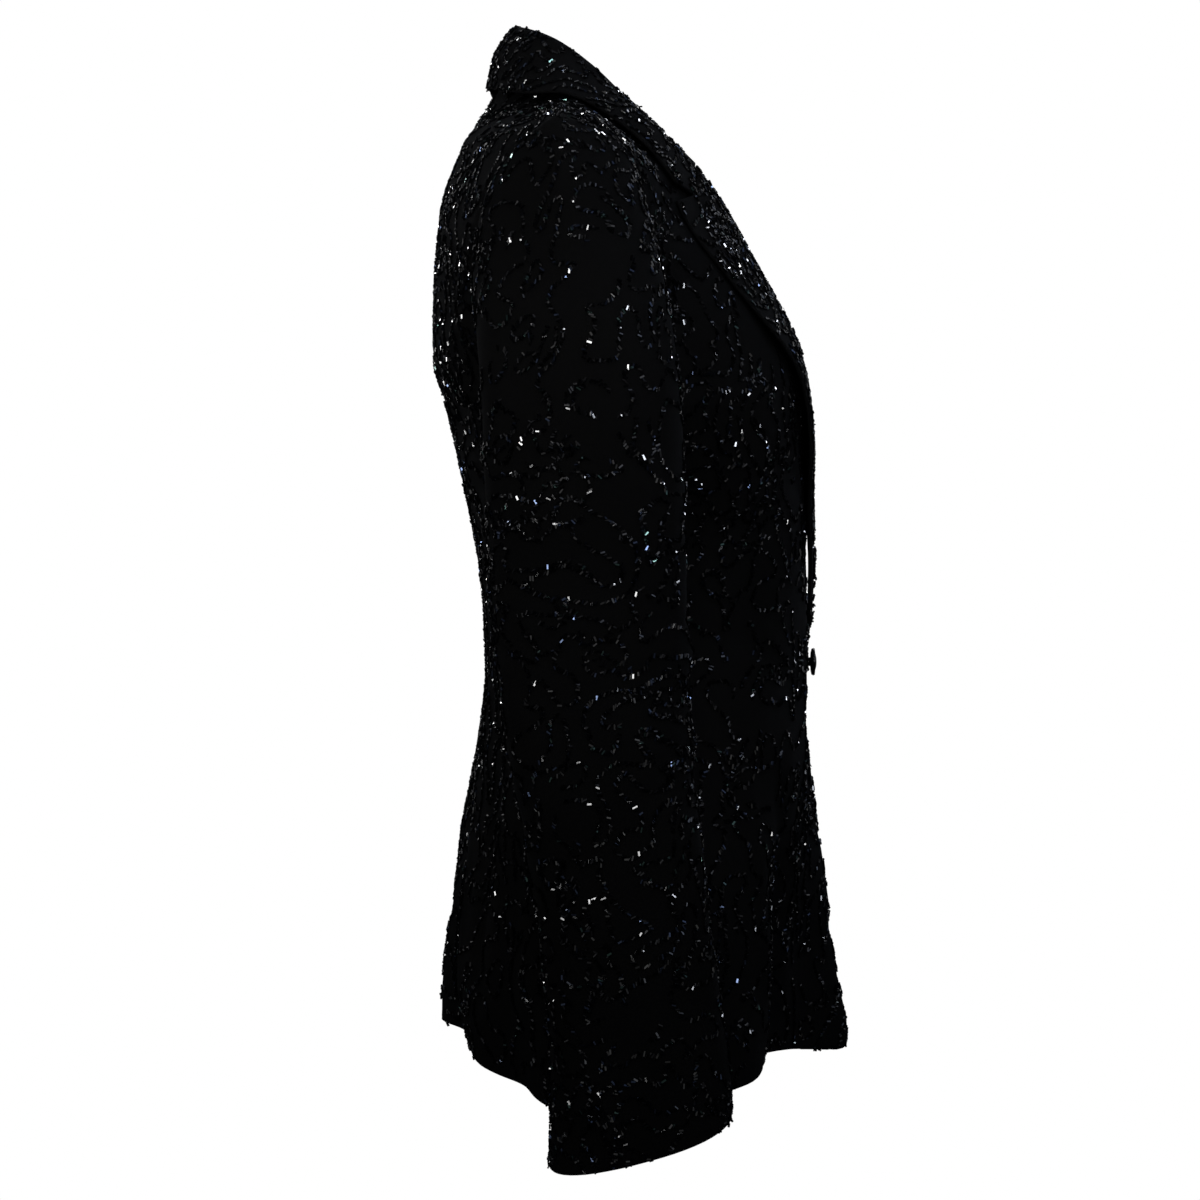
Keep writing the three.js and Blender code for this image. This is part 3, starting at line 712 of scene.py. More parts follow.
CREPE = crepe_material()
GLASS = bead_material()


CLOTH = {}


def add_cloth(name, points, rims, thickness, nodes):
    piece = shell(name, points, thickness, rims, CREPE)
    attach(piece, "root")
    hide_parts(*nodes)
    CLOTH[name] = {"points": points, "normals": grid_normals(points), "piece": piece}


def sided(points, side):
    """The left side's points as they are, or mirrored, with the columns turned round, for the right."""
    return points[:, ::-1] * (-1, 1, 1) if side == "right" else points


def finished(points, rows, turn, per_degree, seams):
    """Adds creases, unevenness and seam grooves along the normals."""
    rise = creases(rows, turn, points[..., 2], per_degree)
    rise = rise + WOBBLE_HEIGHT * WOBBLE(points) + RIPPLE_HEIGHT * RIPPLE(points)
    rise = rise + groove(edge_distances(points), seams)
    return points + grid_normals(points) * rise[..., None]


def add_front(side):
    """Half the front, from its hem to the shoulder seam, with the seams and rims of its side."""
    surface = front_surface(side == "right")
    points = grid_of(surface, FRONT_WIDE, BODY_LONG)
    points[:, -1, 1] -= SEAM / 2
    points[-1, :, 1] -= SEAM / 2
    seams, rims = (0, 1, 0, 1), (FREE, SEWN, FREE, SEWN)
    points = sided(points, side)
    if side == "right":
        seams, rims = (1, 0, 0, 1), (SEWN, FREE, FREE, SEWN)
    points = finished(points, BODY_CREASES[side], body_turn(points), BODY_PER_DEGREE, seams)
    add_cloth(f"front_{side}_cloth", points, rims, WALL, [f"front_{side}"])


def add_back(side):
    """Half the back, kept off the centre seam."""
    points = grid_of(back_surface, BACK_WIDE, BODY_LONG)
    points[:, -1, 1] += SEAM / 2
    points[-1, :, 1] += SEAM / 2
    points[..., 0] = np.maximum(points[..., 0], SEAM / 2)
    points = points[:, ::-1]
    points = sided(points, side)
    points = finished(points, BODY_CREASES[side], body_turn(points), BODY_PER_DEGREE, (1, 1, 0, 1))
    sign = 1 if side == "left" else -1
    points[..., 0] = sign * np.maximum(sign * points[..., 0], SEAM / 2)
    add_cloth(f"back_{side}_cloth", points, (SEWN, SEWN, FREE, SEWN), WALL, [f"back_{side}"])


def ring_point(theta, place):
    """A point of the sleeve below the underarm: degrees round from the outside, and rings up."""
    x, y, z, thick, deep, tilt, hang = curve(
        range(RINGS + 1), column(SLEEVE, "x y z thick deep tilt hang"), place
    ).T
    angle = np.radians(theta)
    tilt = np.radians(tilt)
    r = super_radius(angle, SLEEVE_FULL)
    ahead = deep * r * np.sin(angle)
    lower = hang * np.maximum(np.cos(angle), 0)
    return np.column_stack([
        x + thick * r * np.cos(angle),
        y - ahead * np.cos(tilt),
        z + ahead * np.sin(tilt) - lower,
    ])


def head_point(theta, share):
    """A point of the sleeve head: 0 at the last ring and 1 at the armhole."""
    away = np.abs(np.mod(theta + 540, 360) - 180)
    start = armhole(theta) + (SLEEVE_GAP, 0, 0)
    end = ring_point(theta, np.full(len(theta), float(RINGS)))
    reach = curve((0, 90, 180), HEAD_REACH, away)
    rise = curve((0, 90, 180), HEAD_RISE, away)
    leave = np.column_stack([reach, np.zeros(len(theta)), rise])
    fall_to = np.zeros((len(theta), 3))
    fall_to[:, 2] = HEAD_FALL * (end[:, 2] - start[:, 2])
    f = (1 - share)[:, None]
    f2 = f * f
    f3 = f2 * f
    return (
        start * (2 * f3 - 3 * f2 + 1) + leave * (f3 - 2 * f2 + f)
        + end * (3 * f2 - 2 * f3) + fall_to * (f3 - f2)
    )


def sleeve_point(theta, place):
    low = ring_point(theta, np.minimum(place, RINGS))
    high = head_point(theta, np.clip(place - RINGS, 0, 1))
    return np.where((place <= RINGS)[:, None], low, high)


HEAD_SHARE = 0.22
HEAD_GROOVE = 0.6


def add_sleeve(side, part, start, end):
    """Half a sleeve, from its cuff to the armhole."""
    width = SLEEVE_WIDE[part]
    gap = math.degrees(SEAM / 2 / SLEEVE_RADIUS)
    first, last = start - gap, end + gap

    def surface(share, height):
        theta = lerp(first, last, share)
        body = 1 - HEAD_SHARE
        place = np.where(
            height <= body, height / body * RINGS, RINGS + (height - body) / HEAD_SHARE
        )
        return sleeve_point(theta, place)

    points = grid_of(surface, width, SLEEVE_LONG)
    turn = lerp(first, last, spaced(width))[None, :] * np.ones((points.shape[0], 1))
    points = sided(points, side)
    if side == "right":
        turn = turn[:, ::-1]
    points = finished(points, SLEEVE_CREASES[side], turn, SLEEVE_PER_DEGREE, (1, 1, 0, HEAD_GROOVE))
    name = f"sleeve_{part}_{side}"
    add_cloth(f"{name}_cloth", points, (SEWN, SEWN, FREE, SEWN_ARMHOLE), WALL, [name])


def lapel_outline(break_level):
    """The lapel's outline as x and z of a place across and up: roll line, outer edge and notched top."""
    edge_z, edge_x = column(LAPEL_EDGE, "z x").T
    front_z, front_x = column(FRONT, "z x").T
    tip = np.array([edge_x[-1], edge_z[-1]])

    def roll(up):
        z = lerp(break_level, ROLL_TOP, up)
        return np.column_stack([curve(front_z, front_x, z), z])

    def edge(up):
        z = lerp(break_level, tip[1], up)
        return np.column_stack([curve(edge_z, edge_x, z), z])

    def outline(across, up):
        zero, one = np.zeros(len(up)), np.ones(len(up))
        a = across[:, None]
        u = up[:, None]
        notch = np.array(NOTCH, float)
        inner = lerp(roll(one), notch, a / NOTCH_ALONG)
        outer = lerp(notch, tip, (a - NOTCH_ALONG) / (1 - NOTCH_ALONG))
        top = np.where(a < NOTCH_ALONG, inner, outer)
        sides = lerp(roll(up), edge(up), a)
        bottom = lerp(roll(zero), edge(zero), a)
        corners = lerp(bottom, lerp(roll(one), edge(one), a), u)
        return sides + lerp(bottom, top, u) - corners

    return outline


def add_lapel(side):
    """A lapel, laid on its front and raised along the roll line and at the outer edge."""
    panel = front_surface(side == "right")
    outline = lapel_outline(BREAK[side])

    def surface(across, up):
        x, z = outline(across, up).T
        share, height = locate(panel, x, z)
        point = panel(np.maximum(share, 0), height)
        roll = np.sin(np.pi / 2 * np.minimum(across / ROLL_ACROSS, 1)) * (1 - across)
        proud = np.exp(-(((point[:, 2] - EDGE_PUFF["z"]) / EDGE_PUFF["reach"]) ** 2)) * across
        high = np.exp(-(((point[:, 2] - EDGE_RAISE["z"]) / EDGE_RAISE["reach"]) ** 2)) * across ** 3
        lift = LAPEL_GAP + LAPEL_WALL + ROLL_PUFF * roll + EDGE_PUFF["height"] * proud
        lift += EDGE_RAISE["height"] * high
        return point + normal_of(panel, share, height) * lift[:, None]

    points = sided(grid_of(surface, LAPEL_WIDE, LAPEL_LONG), side)
    rims = (FREE,) * 4
    add_cloth(f"lapel_{side}_cloth", points, rims, LAPEL_WALL, [f"lapel_{side}"])


def fall_point(station, drop):
    """A point of the collar's fall: 0 at the fold and 1 at the outer edge."""
    last = len(COLLAR) - 1

    def through(place):
        lines = np.array([collar_line(name, place) for name in ("fold", "middle", "edge")])
        return np.einsum("mn,nmk->mk", curve_weights((0, 0.5, 1), drop), lines)

    point = through(station)
    side = np.sign(station)
    near = smooth(np.abs(station) - last + 1)[:, None]
    notch = np.column_stack([
        side * NOTCH[0], np.full(len(side), NOTCH_DEPTH), np.full(len(side), NOTCH[1] + GORGE)
    ])
    inner = lerp(collar_line("fold", side * last), notch, (drop / NOTCH_ALONG)[:, None])
    share = (drop - NOTCH_ALONG) / (1 - NOTCH_ALONG)
    outer = lerp(notch, collar_line("edge", side * last), share[:, None])
    line = np.where((drop < NOTCH_ALONG)[:, None], inner, outer)
    return point + (line - through(side * last)) * near


STAND_SHARE = 0.34
ROLL_SHARE = 0.06
CROWN = 1.2
# The stand's height from which it moves inside the neckline, and over which it does so
INSIDE_FROM = 6
INSIDE_OVER = 12


def collar_point(share, height):
    """The collar's upper side: up the inside of the stand, round the fold and down the fall."""
    last = len(COLLAR) - 1
    station = lerp(-last, last, share)
    seam = collar_line("seam", station)
    fold = collar_line("fold", station)
    rise = fold - seam
    length = np.linalg.norm(rise, axis=1, keepdims=True)
    rise = rise / length
    towards_neck = unit(-seam * (1, 1, 0))
    up = np.clip(height / STAND_SHARE, 0, 1)[:, None]
    bow = STAND_BOW * np.sin(np.pi * up)
    top = np.maximum(length - STAND_TOP, SEAM)
    inside = np.clip((length - INSIDE_FROM) / INSIDE_OVER, 0, 1)
    stand = seam + rise * lerp(SEAM, top, up) + towards_neck * (2 * SEAM - bow + WALL) * inside
    start = STAND_SHARE + ROLL_SHARE
    drop = np.clip((height - start) / (1 - start), 0, 1)
    fall = fall_point(station, drop)
    f = np.clip((height - STAND_SHARE) / ROLL_SHARE, 0, 1)[:, None]
    turn = f * f * (3 - 2 * f)
    crown = rise * CROWN * np.sin(np.pi * f)
    return np.where(height[:, None] <= STAND_SHARE, stand, lerp(stand, fall, turn) + crown)


def add_collar():
    points = grid_of(collar_point, COLLAR_WIDE, COLLAR_LONG)
    rims = (FREE, FREE, SEWN, FREE)
    add_cloth("collar_cloth", points, rims, WALL, ["collar_stand", "collar_fall"])


for side in ("right", "left"):
    add_front(side)
    add_back(side)
    add_sleeve(side, "top", FRONT_SLEEVE_SEAM, BACK_SLEEVE_SEAM)
    add_sleeve(side, "under", 360 + BACK_SLEEVE_SEAM, FRONT_SLEEVE_SEAM)
    add_lapel(side)
add_collar()

# Bead lines
BEAD_PITCH = 1.56
BEAD_RADIUS = (0.58, 0.78)
BEAD_LENGTH = (2.2, 3.1)
BEAD_ANGLE = math.radians(52)
BEAD_SPREAD = math.radians(24)
BESIDE_SPREAD = 0.4
TILT_SPREAD = math.radians(8)
WIGGLE = 0.8
WIGGLE_STEP = 9
BEAD_LIFT = 0.5
LIFT_SPREAD = 0.35
SEQUIN_LIFT = 0.5
LEAN_SPREAD = 0.3
GAP_SHARE = 0.06
SEQUIN_SHARE = 0.05
SEQUIN_RADIUS = (1.0, 1.6)
SEQUIN_PEAK = 0.38
SHORTEST_LINE = 4 * BEAD_PITCH
SMOOTHINGS = 3
# How far beads keep from cloth that lies over them, and from cloth beside them
COVER_GAP = 6.5
BESIDE_GAP = 3.2


def level_lines(field, level):
    """Lines of equal value on a grid, as lists of places on it (row and column, with fractions)."""
    tall, wide = field.shape
    value = field - level
    index = np.arange(tall * wide).reshape(tall, wide)
    a, b = index[:-1, :-1].ravel(), index[:-1, 1:].ravel()
    c, d = index[1:, 1:].ravel(), index[1:, :-1].ravel()
    triangles = np.concatenate([np.stack([a, b, c], 1), np.stack([a, c, d], 1)])
    inside = value.ravel() > 0
    state = inside[triangles]
    mixed = triangles[state.any(1) & ~state.all(1)]
    state = inside[mixed]
    size = tall * wide
    ends = []
    for first, second in ((0, 1), (1, 2), (2, 0)):
        crossed = state[:, first] != state[:, second]
        low = np.minimum(mixed[:, first], mixed[:, second])
        high = np.maximum(mixed[:, first], mixed[:, second])
        ends.append(np.where(crossed, low * size + high, -1))
    ends = np.sort(np.stack(ends, 1), 1)[:, 1:]
    neighbours = {}
    for one, two in ends.tolist():
        neighbours.setdefault(one, []).append(two)
        neighbours.setdefault(two, []).append(one)
    seen = set()
    lines = []
    starts = [key for key, near in neighbours.items() if len(near) == 1] + list(neighbours)
    for start in starts:
        if start in seen:
            continue
        line = [start]
        seen.add(start)
        while True:
            following = [key for key in neighbours[line[-1]] if key not in seen]
            if not following:
                break
            line.append(following[0])
            seen.add(following[0])
        if len(neighbours[start]) == 2 and len(line) > 2 and line[-1] in neighbours[start]:
            line.append(start)
        lines.append(np.array(line))
    flat = value.ravel()
    places = []
    for line in lines:
        low, high = line // size, line % size
        f = flat[low] / (flat[low] - flat[high])
        places.append((low, high, f))
    return places


def along_line(cloth, line, rng):
    """Evenly spaced points along a line on the cloth, with the tangent and the normal at each."""
    low, high, f = line
    points = cloth["points"].reshape(-1, 3)
    normals = cloth["normals"].reshape(-1, 3)
    path = lerp(points[low], points[high], f[:, None])
    facing = lerp(normals[low], normals[high], f[:, None])
    for _ in range(SMOOTHINGS):
        path[1:-1] = path[1:-1] / 2 + (path[:-2] + path[2:]) / 4
    steps = np.linalg.norm(np.diff(path, axis=0), axis=1)
    reach = np.concatenate([[0], np.cumsum(steps)])
    if reach[-1] < SHORTEST_LINE:
        return None
    where = np.arange(rng.uniform(0, BEAD_PITCH), reach[-1], BEAD_PITCH)
    spot = np.column_stack([np.interp(where, reach, path[:, k]) for k in range(3)])
    normal = unit(np.column_stack([np.interp(where, reach, facing[:, k]) for k in range(3)]))
    tangent = unit(np.gradient(spot, axis=0))
    knots = rng.normal(0, WIGGLE, int(reach[-1] / WIGGLE_STEP) + 2)
    sway = np.interp(where / WIGGLE_STEP, np.arange(len(knots)), knots)
    spot = spot + np.cross(normal, tangent) * sway[:, None]
    return spot, tangent, normal


# The bead pattern on each kind of piece: by level, as a share of the piece's length, the direction
# across the lines in degrees, how widely it varies, and twice the spacing of the lines
BAND = "level direction spread wave"
PATTERNS = {
    "front": table(BAND, (0, 20, 50, 26), (0.35, -25, 55, 26), (0.7, 15, 50, 22), (1, 70, 60, 19)),
    "back": table(BAND, (0, -15, 50, 27), (0.35, 25, 55, 28), (0.7, -50, 60, 26), (1, 80, 60, 20)),
    "sleeve": table(BAND, (0, 60, 60, 22), (0.3, 120, 55, 23), (0.6, 75, 60, 24), (1, 95, 60, 21)),
    "lapel": table(BAND, (0, 30, 70, 14), (1, 120, 70, 13)),
    "collar": table(BAND, (0, 20, 80, 16), (1, 100, 80, 16)),
}
BAND_REACH = 0.2
PATTERN_WAVES = 44
LENGTH_SPREAD = 0.2
WARP = Waves(31, 70, 0.4, 30)
WARP_HEIGHT = 6
# In patches, more lines join the main ones, or a second line runs close beside to make a thick rope,
# or the cloth is bare
PATCHES = Waves(32, 110, 0.4, 30)
THICK = Waves(33, 60, 0.4, 30)
BARE = Waves(34, 70, 0.4, 30)
JOINING_FROM = 0.95
THICK_FROM = 0.75
THICK_LEVEL = 0.42
BARE_FROM = 1.55


def pattern_field(points, pattern, rng):
    """A smooth random field over a piece, whose lines of equal value are the bead lines."""
    left, _, low, _ = edge_distances(points)
    bend = WARP_HEIGHT * WARP(points)
    across, up = left + bend, low - bend
    share = low / low[-1:]
    total, power = np.zeros(across.shape), np.zeros(across.shape)
    for band in pattern:
        angle = np.radians(rng.normal(band["direction"], band["spread"], PATTERN_WAVES))
        number = 2 * np.pi / band["wave"] * (1 + LENGTH_SPREAD * rng.normal(size=PATTERN_WAVES))
        phase = rng.uniform(0, 2 * np.pi, PATTERN_WAVES)
        weight = np.exp(-(((share - band["level"]) / BAND_REACH) ** 2))
        for a, k, p in zip(angle, number, phase):
            total += weight * np.cos(k * (np.cos(a) * across + np.sin(a) * up) + p)
        power += weight ** 2
    return total / np.sqrt(power * PATTERN_WAVES / 2)


def covered(points, cover, gap):
    """Which points lie within a gap of the cloth that covers them."""
    if not cover:
        return np.zeros(len(points), bool)
    others = np.vstack([CLOTH[name]["points"].reshape(-1, 3) for name in cover])
    tree = kdtree.KDTree(len(others))
    for i, point in enumerate(others):
        tree.insert(point, i)
    tree.balance()
    return np.array([tree.find(point)[2] < gap for point in points])


def bead_places(name, rng):
    """Where the beads of one piece of cloth are sewn, along lines of three kinds."""
    cloth = CLOTH[name]
    kind = name.split("_")[0]
    pattern = PATTERNS[kind]
    main = pattern_field(cloth["points"], pattern, rng)
    joining = pattern_field(cloth["points"], pattern, rng)
    kinds = (
        (main, 0, lambda spot: (BARE(spot) < BARE_FROM) | (kind in ("lapel", "collar"))),
        (main, THICK_LEVEL, lambda spot: THICK(spot) > THICK_FROM),
        (joining, 0, lambda spot: PATCHES(spot) > JOINING_FROM),
    )
    spots = []
    for field, level, wanted in kinds:
        for line in level_lines(field, level):
            found = along_line(cloth, line, rng)
            if found is None:
                continue
            spot, tangent, normal = found
            keep = wanted(spot) & (rng.uniform(size=len(spot)) > GAP_SHARE)
            twist = rng.choice((-1, 1))
            spots.append(np.hstack([spot, tangent, normal, np.full((len(spot), 1), twist)])[keep])
    return np.vstack(spots)


PRISM_SIDES = 4


def prism_parts():
    """A four-sided bead along X, one long and one in radius: vertices, corners and face sizes."""
    turns = 2 * np.pi * np.arange(PRISM_SIDES) / PRISM_SIDES
    ring = np.column_stack([np.zeros(PRISM_SIDES), np.cos(turns), np.sin(turns)])
    vertices = np.vstack([ring - (0.5, 0, 0), ring + (0.5, 0, 0)])
    loops, sizes = [], []
    for i in range(PRISM_SIDES):
        j = (i + 1) % PRISM_SIDES
        loops += [i, j, j + PRISM_SIDES, i + PRISM_SIDES]
        sizes.append(4)
    loops += list(range(PRISM_SIDES))[::-1] + [k + PRISM_SIDES for k in range(PRISM_SIDES)]
    sizes += [PRISM_SIDES, PRISM_SIDES]
    return vertices, np.array(loops), np.array(sizes)


SEQUIN_SIDES = 8


def sequin_parts():
    """A faceted flat bead that faces Z: a rim and a low peak on each side."""
    turns = 2 * np.pi * np.arange(SEQUIN_SIDES) / SEQUIN_SIDES
    ring = np.column_stack([np.cos(turns), np.sin(turns), np.zeros(SEQUIN_SIDES)])
    vertices = np.vstack([ring, [(0, 0, SEQUIN_PEAK), (0, 0, -SEQUIN_PEAK)]])
    loops = []
    for i in range(SEQUIN_SIDES):
        j = (i + 1) % SEQUIN_SIDES
        loops += [i, j, SEQUIN_SIDES, j, i, SEQUIN_SIDES + 1]
    return vertices, np.array(loops), np.full(2 * SEQUIN_SIDES, 3)


def placed(parts, centres, axes, scales):
    """Copies of one bead: axes are each copy's X, Y and Z, and scales its size along them."""
    vertices, loops, sizes = parts
    count = len(centres)
    moved = np.einsum("vk,nk,nkj->nvj", vertices, scales, axes) + centres[:, None, :]
    offset = (np.arange(count) * len(vertices))[:, None]
    return moved.reshape(-1, 3), (loops[None, :] + offset).ravel(), np.tile(sizes, count)


def add_beads(name, cover, near, rng):
    """Short tubes and a few sequins, slanted across the bead lines of one piece, as one mesh."""
    spots = bead_places(name, rng)
    hidden = covered(spots[:, :3], cover, COVER_GAP) | covered(spots[:, :3], near, BESIDE_GAP)
    spots = spots[~hidden]
    count = len(spots)
    centre, tangent, normal, twist = spots[:, :3], spots[:, 3:6], spots[:, 6:9], spots[:, 9]
    beside = unit(np.cross(normal, tangent))
    angle = twist * (BEAD_ANGLE + BEAD_SPREAD * rng.normal(size=count))
    tilt = rng.normal(size=count) * TILT_SPREAD
    axis = np.cos(angle)[:, None] * tangent + np.sin(angle)[:, None] * beside
    axis = unit(axis + np.tan(tilt)[:, None] * normal)
    roll = rng.uniform(0, 2 * np.pi, count)
    side_way = unit(np.cross(normal, axis))
    up_way = np.cross(axis, side_way)
    y_way = np.cos(roll)[:, None] * side_way + np.sin(roll)[:, None] * up_way
    z_way = np.cross(axis, y_way)
    radius = rng.uniform(*BEAD_RADIUS, count)
    length = rng.uniform(*BEAD_LENGTH, count)
    lift = BEAD_LIFT + rng.uniform(0, LIFT_SPREAD, count)
    aside = rng.normal(0, BESIDE_SPREAD, count)
    middle = centre + normal * lift[:, None] + beside * aside[:, None]
    sequin = rng.uniform(size=count) < SEQUIN_SHARE
    tube = ~sequin
    axes = np.stack([axis, y_way, z_way], 1)
    scales = np.column_stack([length, radius, radius])
    tubes = placed(prism_parts(), middle[tube], axes[tube], scales[tube])
    size = rng.uniform(*SEQUIN_RADIUS, count)
    lean = unit(normal + LEAN_SPREAD * rng.normal(size=(count, 3)))
    flat_x = unit(np.cross(lean, axis))
    flat_y = np.cross(lean, flat_x)
    sequin_axes = np.stack([flat_x, flat_y, lean], 1)
    sequin_scales = np.column_stack([size, size, size])
    raised = middle + normal * SEQUIN_LIFT
    discs = placed(sequin_parts(), raised[sequin], sequin_axes[sequin], sequin_scales[sequin])
    vertices = np.vstack([tubes[0], discs[0]])
    loops = np.concatenate([tubes[1], discs[1] + len(tubes[0])])
    sizes = np.concatenate([tubes[2], discs[2]])
    beads = new_object(name.replace("cloth", "beads"), vertices, loops, sizes, False, GLASS)
    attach(beads, "root")


BODY_COVER = {
    "front_right_cloth": ["lapel_right_cloth", "collar_cloth"],
    "front_left_cloth": ["lapel_left_cloth", "collar_cloth"],
    "back_right_cloth": ["collar_cloth"],
    "back_left_cloth": ["collar_cloth"],
}


def near_cloth(name):
    """Sleeves keep their beads clear of the body, and the body of the sleeves."""
    side = "right" if "right" in name else "left"
    if name.startswith("sleeve"):
        return [f"front_{side}_cloth", f"back_{side}_cloth"]
    if name.startswith(("front", "back")):
        return [f"sleeve_top_{side}_cloth", f"sleeve_under_{side}_cloth"]
    return []


BEAD_SEED = 7
bead_rng = np.random.default_rng(BEAD_SEED)
for name in list(CLOTH):
    add_beads(name, BODY_COVER.get(name, []), near_cloth(name), bead_rng)


# Button
BUTTON_PROFILE = (
    (0, 0.0), (3.0, 0.0), (2.6, 1.2), (3.0, 2.4), (6.6, 2.7), (8.3, 3.1), (9.0, 4.2),
    (8.6, 5.1), (7.6, 5.2), (7.0, 4.8), (5.2, 5.6), (2.8, 6.2), (0, 6.4),
)
BUTTON_SIDES = 28


def add_button():
    """A domed glass button on its shank, turned from a profile of radius and height."""
    low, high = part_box("button")
    seat = np.array([(low[0] + high[0]) / 2, high[1], (low[2] + high[2]) / 2]) / MM
    turns = 2 * np.pi * np.arange(BUTTON_SIDES) / BUTTON_SIDES
    vertices = [seat]
    for radius, height in BUTTON_PROFILE[1:-1]:
        for turn in turns:
            vertices.append(seat + (radius * math.cos(turn), -height, radius * math.sin(turn)))
    vertices.append(seat + (0, -BUTTON_PROFILE[-1][1], 0))
    loops, sizes = [], []
    rings = len(BUTTON_PROFILE) - 2
    last = len(vertices) - 1
    for i in range(BUTTON_SIDES):
        j = (i + 1) % BUTTON_SIDES
        loops += [0, 1 + i, 1 + j]
        sizes.append(3)
        for k in range(rings - 1):
            a, b = 1 + k * BUTTON_SIDES, 1 + (k + 1) * BUTTON_SIDES
            loops += [a + j, a + i, b + i, b + j]
            sizes.append(4)
        top = 1 + (rings - 1) * BUTTON_SIDES
        loops += [last, top + j, top + i]
        sizes.append(3)
    button = new_object("button_glass", vertices, np.array(loops), np.array(sizes), True, GLASS)
    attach(button, "root")
    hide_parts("button")


add_button()


# Light and floor
SKY_STOPS = ((0.5, (0.012, 0.012, 0.013, 1)), (0.54, (0.165, 0.17, 0.185, 1)))
SKY_PATCHES = {"Scale": 2.6, "Detail": 1.0}
SKY_FADE = {"From Min": -0.1, "From Max": 0.4}
SKY_FAR = {"From Min": -0.6, "From Max": 0.6, "To Min": 1, "To Max": 0.5}
FLOOR_LEVEL = -1.36
FLOOR_HALF = 1.3
FLOOR_PALE = (0.85, 0.85, 0.85, 1)
FLOOR_DIM = (0.05, 0.05, 0.05, 1)
FLOOR_GLOW = 0.72
WHITE = (1, 1, 1, 1)
FLOOR_PAINT = {"Roughness": 0.9, "Specular IOR Level": 0.0, "Emission Color": WHITE}


def add_world():
    """White behind the garment for the camera, and a dim sky of soft patches for the beads to reflect.

    The sky fades downwards and towards the wearer's left.
    """
    world = bpy.data.worlds.new("studio")
    bpy.context.scene.world = world
    world.use_nodes = True
    nodes, links = world.node_tree.nodes, world.node_tree.links
    nodes.clear()
    place = nodes.new("ShaderNodeTexCoord").outputs["Generated"]
    patches = add_node(nodes, "ShaderNodeTexNoise", SKY_PATCHES)
    links.new(place, patches.inputs["Vector"])
    ramp = add_ramp(nodes, links, SKY_STOPS, patches.outputs["Fac"])
    split = nodes.new("ShaderNodeSeparateXYZ")
    links.new(place, split.inputs["Vector"])
    fade = add_node(nodes, "ShaderNodeMapRange", SKY_FADE)
    links.new(split.outputs["Z"], fade.inputs["Value"])
    far = add_node(nodes, "ShaderNodeMapRange", SKY_FAR)
    links.new(split.outputs["X"], far.inputs["Value"])
    strength = add_math(nodes, links, "MULTIPLY", fade.outputs["Result"], far.outputs["Result"])
    dim = nodes.new("ShaderNodeBackground")
    links.new(ramp.outputs["Color"], dim.inputs["Color"])
    links.new(strength, dim.inputs["Strength"])
    white = add_node(nodes, "ShaderNodeBackground", {"Color": WHITE})
    mix = nodes.new("ShaderNodeMixShader")
    out = nodes.new("ShaderNodeOutputWorld")
    links.new(nodes.new("ShaderNodeLightPath").outputs["Is Camera Ray"], mix.inputs[0])
    links.new(dim.outputs[0], mix.inputs[1])
    links.new(white.outputs[0], mix.inputs[2])
    links.new(mix.outputs[0], out.inputs[0])


def add_floor():
    """A plain pale floor that throws little light up at the garment."""
    material, nodes, links, principled = new_material("floor")
    settle(principled, FLOOR_PAINT)
    seen = nodes.new("ShaderNodeLightPath").outputs["Is Camera Ray"]
    paint = nodes.new("ShaderNodeMix")
    paint.data_type = "RGBA"
    settle(paint, {"A": FLOOR_DIM, "B": FLOOR_PALE})
    links.new(seen, paint.inputs["Factor"])
    links.new(paint.outputs["Result"], principled.inputs["Base Color"])
    glow = add_math(nodes, links, "MULTIPLY", seen, FLOOR_GLOW)
    links.new(glow, principled.inputs["Emission Strength"])
    half = FLOOR_HALF / MM
    level = FLOOR_LEVEL / MM
    corners = [(x * half, y * half, level) for x, y in ((-1, -1), (1, -1), (1, 1), (-1, 1))]
    floor = new_object("floor", corners, np.arange(4), np.array([4]), False, material)


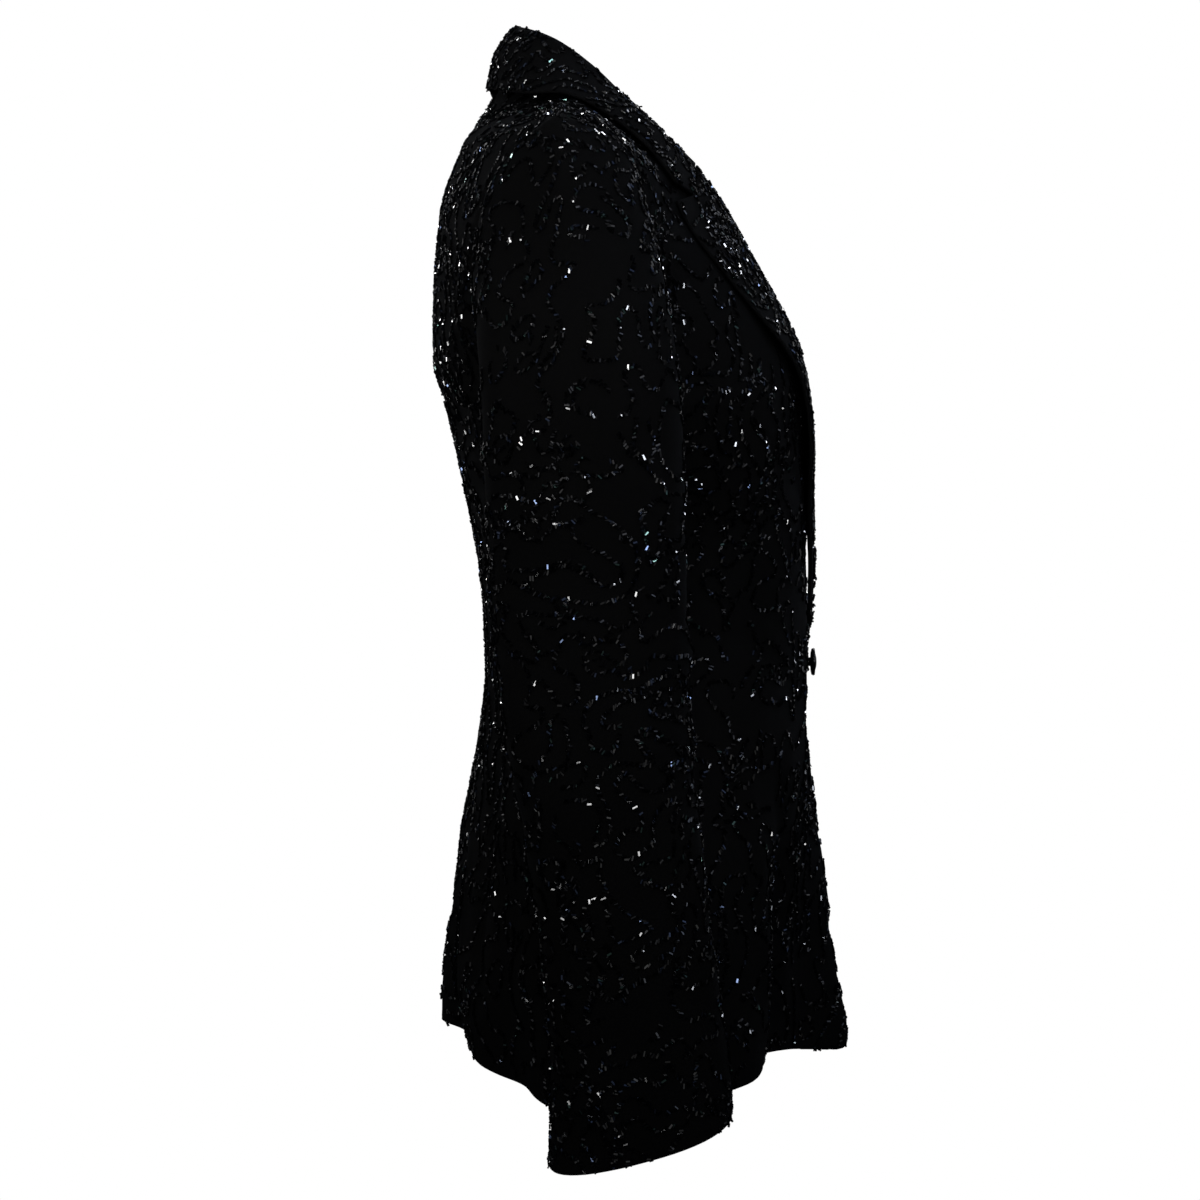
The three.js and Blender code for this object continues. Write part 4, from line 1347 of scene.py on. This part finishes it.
# Each lamp: place in metres, radius of its disc, radiance and how blue it is. Soft boxes give the wide
# glints, small lamps the hard ones, and large dim screens the grey on the glass.
LAMPS = table(
    "place radius radiance cool",
    ((-2.3, -1.5, 1.5), 0.7, 0.68, 0.2),
    ((-2.5, 1.2, 1.1), 0.55, 0.64, 0),
    ((-2.8, -0.8, 0.5), 0.42, 0.48, 0),
    ((-2.8, 0.7, 0.2), 0.38, 0.44, 0),
    ((-1.9, -2.1, 1.1), 0.5, 0.68, 0.4),
    ((-2.8, -0.4, -0.9), 0.3, 0.56, 0),
    ((2.3, -1.5, 1.5), 0.7, 0.56, 0.2),
    ((2.5, 1.2, 1.1), 0.55, 0.48, 0),
    ((2.8, -0.8, 0.5), 0.42, 0.4, 0),
    ((2.8, 0.7, 0.2), 0.38, 0.36, 0),
    ((1.9, -2.1, 1.1), 0.5, 0.56, 0.4),
    ((2.8, 0.4, -0.9), 0.3, 0.48, 0),
    ((-0.9, -0.5, 2.7), 0.75, 0.68, 0.5),
    ((0.9, 0.4, 2.6), 0.65, 0.6, 0.2),
    ((0.1, -2.5, 1.6), 0.65, 0.96, 0.7),
    ((-0.1, 2.9, 0.8), 0.6, 0.48, 0.1),
    ((-2.6, 0.3, 1.6), 0.15, 29, 0),
    ((-2.2, -2.0, 0.0), 0.15, 29, 0.3),
    ((-2.3, 1.9, -0.1), 0.15, 26, 0),
    ((-2.9, -0.3, 0.3), 0.13, 29, 0),
    ((-1.8, -1.2, 2.2), 0.15, 29, 0.2),
    ((-1.6, 1.6, 2.0), 0.15, 26, 0),
    ((-2.7, 1.0, -0.6), 0.13, 26, 0),
    ((-0.6, -2.9, 0.5), 0.15, 26, 0.3),
    ((2.2, -2.0, 0.0), 0.14, 23, 0.3),
    ((2.3, 1.9, 0.2), 0.14, 21, 0),
    ((2.7, 0.2, 1.4), 0.14, 23, 0),
    ((1.8, -1.2, 2.2), 0.14, 23, 0.2),
    ((2.9, -0.3, 0.2), 0.12, 23, 0),
    ((0.7, 2.8, 0.4), 0.13, 23, 0),
    ((-2.4, -1.2, 0.3), 0.9, 0.28, 0),
    ((-2.4, 1.3, 0.3), 0.9, 0.28, 0),
    ((2.4, -1.2, 0.3), 0.9, 0.22, 0),
    ((2.4, 1.3, 0.3), 0.9, 0.22, 0),
)
BLUE = np.array((0.45, 0.62, 1.0))
AIM = np.array([0, 0, 0.04])
SPREAD = math.radians(33)
LAMP_SCALE = 0.36


def add_lamps():
    """Disc lamps aimed at the garment, with the energy for each one's radiance."""
    for i, row in enumerate(LAMPS):
        data = bpy.data.lights.new(f"lamp_{i}", "AREA")
        data.shape = "DISK"
        data.size = 2 * row["radius"]
        data.color = lerp(np.ones(3), BLUE, row["cool"])
        disc = math.pi * row["radius"] ** 2
        data.energy = LAMP_SCALE * row["radiance"] * math.pi * disc * math.tan(SPREAD / 2) ** 2
        data.spread = SPREAD
        lamp = bpy.data.objects.new(f"lamp_{i}", data)
        place = np.array(row["place"], float)
        lamp.location = place
        away = place - AIM
        lamp.rotation_euler = (
            math.atan2(math.hypot(away[0], away[1]), away[2]), 0, math.atan2(away[0], -away[1])
        )
        lamp.visible_camera = False
        bpy.context.scene.collection.objects.link(lamp)


add_world()
add_floor()
add_lamps()
bpy.context.scene.view_settings.view_transform = "Standard"
